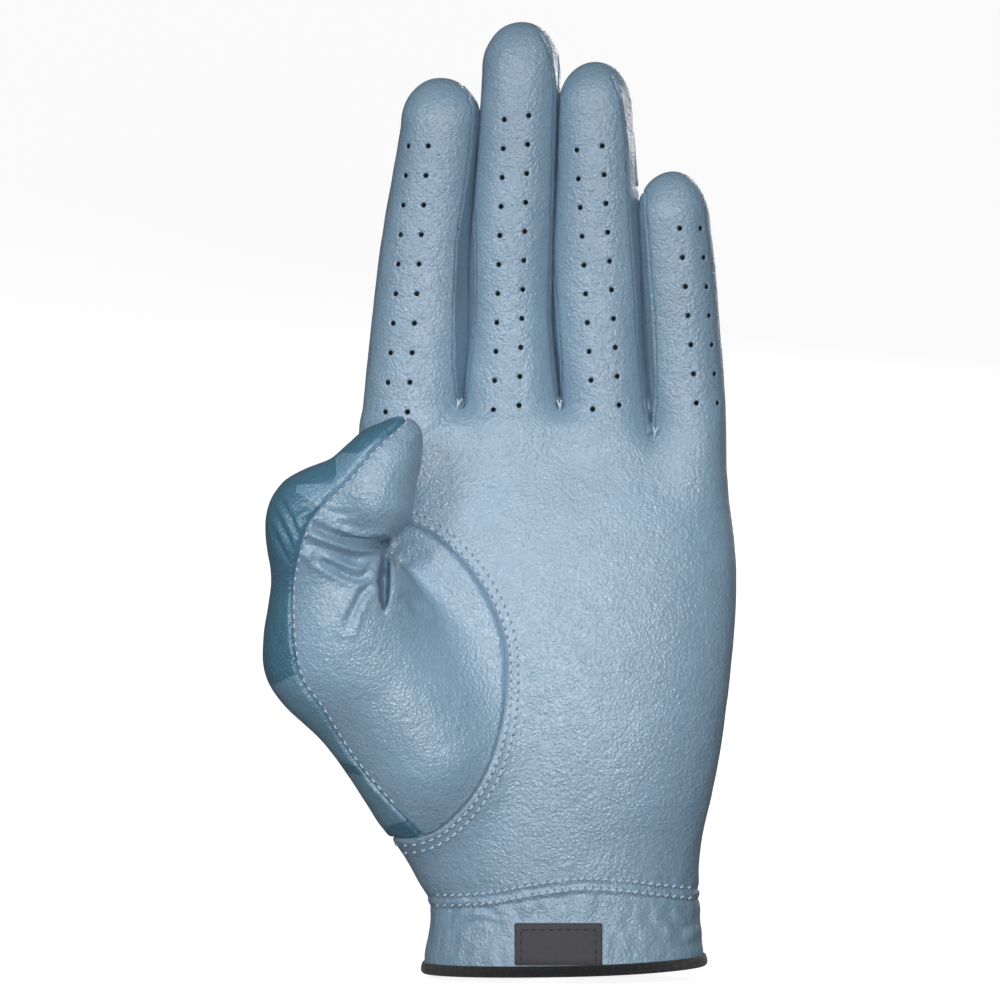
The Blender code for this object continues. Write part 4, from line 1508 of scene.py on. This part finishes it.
def make_slit_binding(look):
    """Tape folded over the edge of the slit."""
    turn = np.linspace(0, math.pi, 13)
    arch = [(SLIT_X + SLIT_HALF[1] * math.cos(a), SLIT_TOP + SLIT_HALF[1] * math.sin(a)) for a in turn]
    legs = np.linspace(2.2, SLIT_TOP, 24)[:-1]

    def half(z):
        return SLIT_HALF[0] + (SLIT_HALF[1] - SLIT_HALF[0]) * z / SLIT_TOP

    line = [(SLIT_X + half(z), z) for z in legs] + arch + [(SLIT_X - half(z), z) for z in legs[::-1]]
    path = on_back(hand_field, line)
    normal = unit(gradient(hand_field, path))
    along = unit(np.gradient(path, axis=0))
    across = np.cross(along, normal)
    outline = [
        (-LEATHER - 0.5, -0.9), (-LEATHER - 0.6, 0.2), (-LEATHER - 0.3, 0.8), (0.1, 1.0), (0.5, 0.75),
        (0.6, 0.0), (0.55, -1.0), (0.1, -1.2), (0.02, -0.2), (-LEATHER - 0.02, -0.2),
    ]
    inward = np.sign((across * (np.array([SLIT_X, 0.0, 30.0]) - path)).sum(1))[len(path) // 4]
    binding = tape("slit_binding_tape", path, normal, across * inward, outline, [look["binding"]])
    finish(binding, "hand", ["slit_binding"])


def make_label(look):
    """A blank rubber label sewn to the front of the cuff along its top and sides."""
    low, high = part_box("wrist_label")
    depth = 1 + high[1] / CAMERA_DISTANCE
    left, right = (v / MM * depth for v in (low[0] + 0.0004, high[0] - 0.0003))
    bottom, top = (v / MM * depth for v in (low[2] - 0.0004, high[2]))
    shape = (26, 14)
    p = on_front(hand_field, rounded_grid((left, right), (bottom, top), 0.4, 0.4, *shape))
    label = patch("label", hand_field, p, shape, 0.05, 0.85, 0.25, [look["rubber"]])
    finish(label, "hand", ["wrist_label"])
    inset = 1.6
    left, right, top = left + inset, right - inset, top - inset
    sewing = Sewing()
    border = [(left, bottom + 0.6), (left, top), (right, top), (right, bottom + 0.6)]
    for a, b in zip(border[:-1], border[1:]):
        p = on_front(hand_field, along_line([a, b], 2.1))
        sewing.row_above(hand_field, p, 0.85, 1.5, 0.2)
    finish(sewing.make("label_stitches", [look["dark thread"], look["rubber"]]), "hand", [])


def make_closure(look):
    """The strap over the slit, sewn down at one end, with hook and loop pads beneath it."""
    z_range = (25.0, 49.0)
    fold_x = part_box("closure_tab")[0][0] / MM + 0.7
    printed = [look["print dark"]]
    shape = (26, 20)
    loop_x = (11.0, 27.5)
    p = on_back(hand_field, rounded_grid(loop_x, (28.0, 46.0), 2.0, 6.0, *shape))
    loop = patch("loop_pad_pile", hand_field, p, shape, 0.1, 0.9, 0.3, [look["pile"]])
    finish(loop, "hand", ["loop_pad"])
    p = on_back(hand_field, rounded_grid((12.5, 25.0), (28.0, 46.0), 2.0, 5.0, *shape))
    hooks = patch("hook_pad_face", hand_field, p, shape, 1.15, 1.8, 0.3, [look["hooks"]])
    finish(hooks, "closure", ["hook_pad"])
    shape = (60, 34)
    p = on_back(hand_field, rounded_grid((fold_x + 0.1, 27.0), z_range, 0.5, 11.0, *shape))
    tab = patch("closure_strap", hand_field, p, shape, 2.05, 3.1, 0.5, printed)
    finish(tab, "closure", ["closure_tab"])
    p = on_back(hand_field, rounded_grid((-21.0, fold_x - 0.1), z_range, 3.0, 0.5, 20, 34))
    root = patch("closure_root", hand_field, p, (20, 34), 0.05, 3.1, 0.5, printed)
    finish(root, "hand", ["tab_root"])
    half = (z_range[1] - z_range[0]) / 2 - 1.6
    turn = np.linspace(-math.pi / 2, math.pi / 2, 30)
    tip = [(27.0 - 12.6 + 11.0 * math.cos(a), 37.0 + half * math.sin(a)) for a in turn]
    edge = [(fold_x + 1.0, 37.0 - half)] + tip + [(fold_x + 1.0, 37.0 + half)]
    box = [(-19.4, 26.6), (-13.6, 26.6), (-13.6, 47.4), (-19.4, 47.4), (-19.4, 26.6)]
    for name, line, body in (("closure_stitches", edge, "closure"), ("root_stitches", box, "hand")):
        sewing = Sewing()
        sewing.row_above(hand_field, on_back(hand_field, along_line(line, 2.2)), 3.1, 1.3, 0.2)
        finish(sewing.make(name, [look["pale thread"], look["needle hole shade"]]), body, [])


def sew_crease(look):
    """Whipped, frayed edges on both sides of the slot in the thumb's crease."""
    sewing = Sewing()
    random = np.random.default_rng(4)
    edges = [
        [(-46.3, 92.2), (-47.0, 96.0), (-46.6, 101.0), (-45.4, 106.6)],
        [(-41.6, 92.4), (-41.4, 97.0), (-41.2, 102.0), (-42.4, 107.4)],
        [(-46.2, 92.2), (-44.0, 91.0), (-41.6, 91.4)],
    ]
    for edge in edges:
        places = along_line(smooth_line(edge, False), 0.6)
        p = on_front(hand_field, places)
        normal = unit(gradient(hand_field, p))
        along = unit(np.gradient(p, axis=0))
        for centre, forward, out in zip(p, along, normal):
            lean = np.cross(out, forward) + forward * random.uniform(-0.4, 0.4)
            path = centre + np.linspace(-0.5, 0.5, 5)[:, None] * lean
            path = path + np.array([-0.1, 0.1, 0.2, 0.1, -0.1])[:, None] * out * random.uniform(0.7, 1.3)
            sewing.add(*tube(path, np.tile(out, (5, 1)), [0.12, 0.2, 0.22, 0.2, 0.1]), 0)
    finish(sewing.make("crease_whip_stitches", [look["fray"]]), "hand", [])


# ---------------------------------------------------------------- floor, lights and camera


def make_stage():
    """A round pale floor that curves up into a dome, so that it fills every view."""
    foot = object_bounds()[0][2] / MM
    flat, sweep = 800.0, 2200.0  # radius of the flat floor, and of the curve from it to the wall
    wall = flat + sweep
    bend = np.linspace(0.0, math.pi / 2, 24)
    profile = [(0.0, 0.0), (flat, 0.0)]
    profile += [(flat + sweep * math.sin(a), sweep - sweep * math.cos(a)) for a in bend]
    profile += [(wall * math.cos(a), sweep + wall * math.sin(a)) for a in bend[1:]]
    sides = 64
    turn = np.linspace(0, 2 * math.pi, sides, endpoint=False)
    points = [(r * math.cos(a), r * math.sin(a), foot + z) for r, z in profile for a in turn]
    faces = []
    for i in range(len(profile) - 1):
        for k in range(sides):
            after = (k + 1) % sides
            faces.append((i * sides + k, i * sides + after, (i + 1) * sides + after, (i + 1) * sides + k))
    paper = plain_look("paper_backdrop", (190, 190, 191), 0.9)
    shader = paper.node_tree.nodes["Principled BSDF"]
    shader.inputs["Emission Color"].default_value = (1.0, 1.0, 1.0, 1.0)
    shader.inputs["Emission Strength"].default_value = 0.9
    floor = mesh_object("floor", points, faces, [paper])
    floor.visible_diffuse = False
    floor.visible_glossy = False
    floor.visible_shadow = False


def add_lamp(data, place, target):
    light = bpy.data.objects.new(data.name, data)
    light.location = place
    light.rotation_euler = (Vector(target) - Vector(place)).to_track_quat("-Z", "Y").to_euler()
    bpy.context.scene.collection.objects.link(light)


def add_light(name, place, target, size, power):
    data = bpy.data.lights.new(name, "AREA")
    data.shape = "RECTANGLE"
    data.size, data.size_y = size
    data.energy = power
    add_lamp(data, place, target)


def light_scene():
    middle = (-0.016, 0.0, 0.118)
    add_light("key", (-0.5, -0.8, 0.42), middle, (0.25, 0.25), 3.0)
    add_light("top", (0.05, -0.55, 0.52), (-0.01, 0.0, 0.14), (0.3, 0.3), 1.1)
    add_light("front", (0.1, -1.4, 0.12), middle, (0.25, 0.25), 5.6)
    add_light("back", (0.6, 1.4, 0.6), middle, (0.6, 0.6), 7.0)
    pool = bpy.data.lights.new("palm pool", "SPOT")
    pool.energy = 26.0
    pool.spot_size = math.radians(9.0)
    pool.spot_blend = 1.0
    pool.shadow_soft_size = 0.08
    add_lamp(pool, (0.05, -1.2, 0.2), (-0.018, 0.0, 0.084))
    world = bpy.data.worlds.new("world")
    bpy.context.scene.world = world
    world.use_nodes = True
    background = world.node_tree.nodes["Background"]
    background.inputs["Color"].default_value = (1.0, 1.0, 1.0, 1.0)
    background.inputs["Strength"].default_value = 0.07
    bpy.context.scene.view_settings.view_transform = "Standard"


def add_camera():
    data = bpy.data.cameras.new("camera")
    data.sensor_width = 36.0
    data.lens = CAMERA_DISTANCE * data.sensor_width / FRAME_WIDTH
    data.clip_end = 20.0
    camera = bpy.data.objects.new("camera", data)
    camera.location = Vector(CAMERA * MM)
    camera.rotation_euler = (math.pi / 2, 0.0, 0.0)
    bpy.context.scene.collection.objects.link(camera)
    bpy.context.scene.camera = camera


def main():
    add_camera()
    light_scene()
    make_stage()
    look = looks()
    make_hand(look)
    for name in FINGERS:
        make_finger(name, look)
    make_thumb_end(look)
    sew_oval(look)
    sew_wrist(look)
    sew_print_seam(look)
    thread_ends(look)
    sew_crease(look)
    make_hem(look)
    make_elastic(look)
    make_slit_binding(look)
    make_label(look)
    make_closure(look)


main()
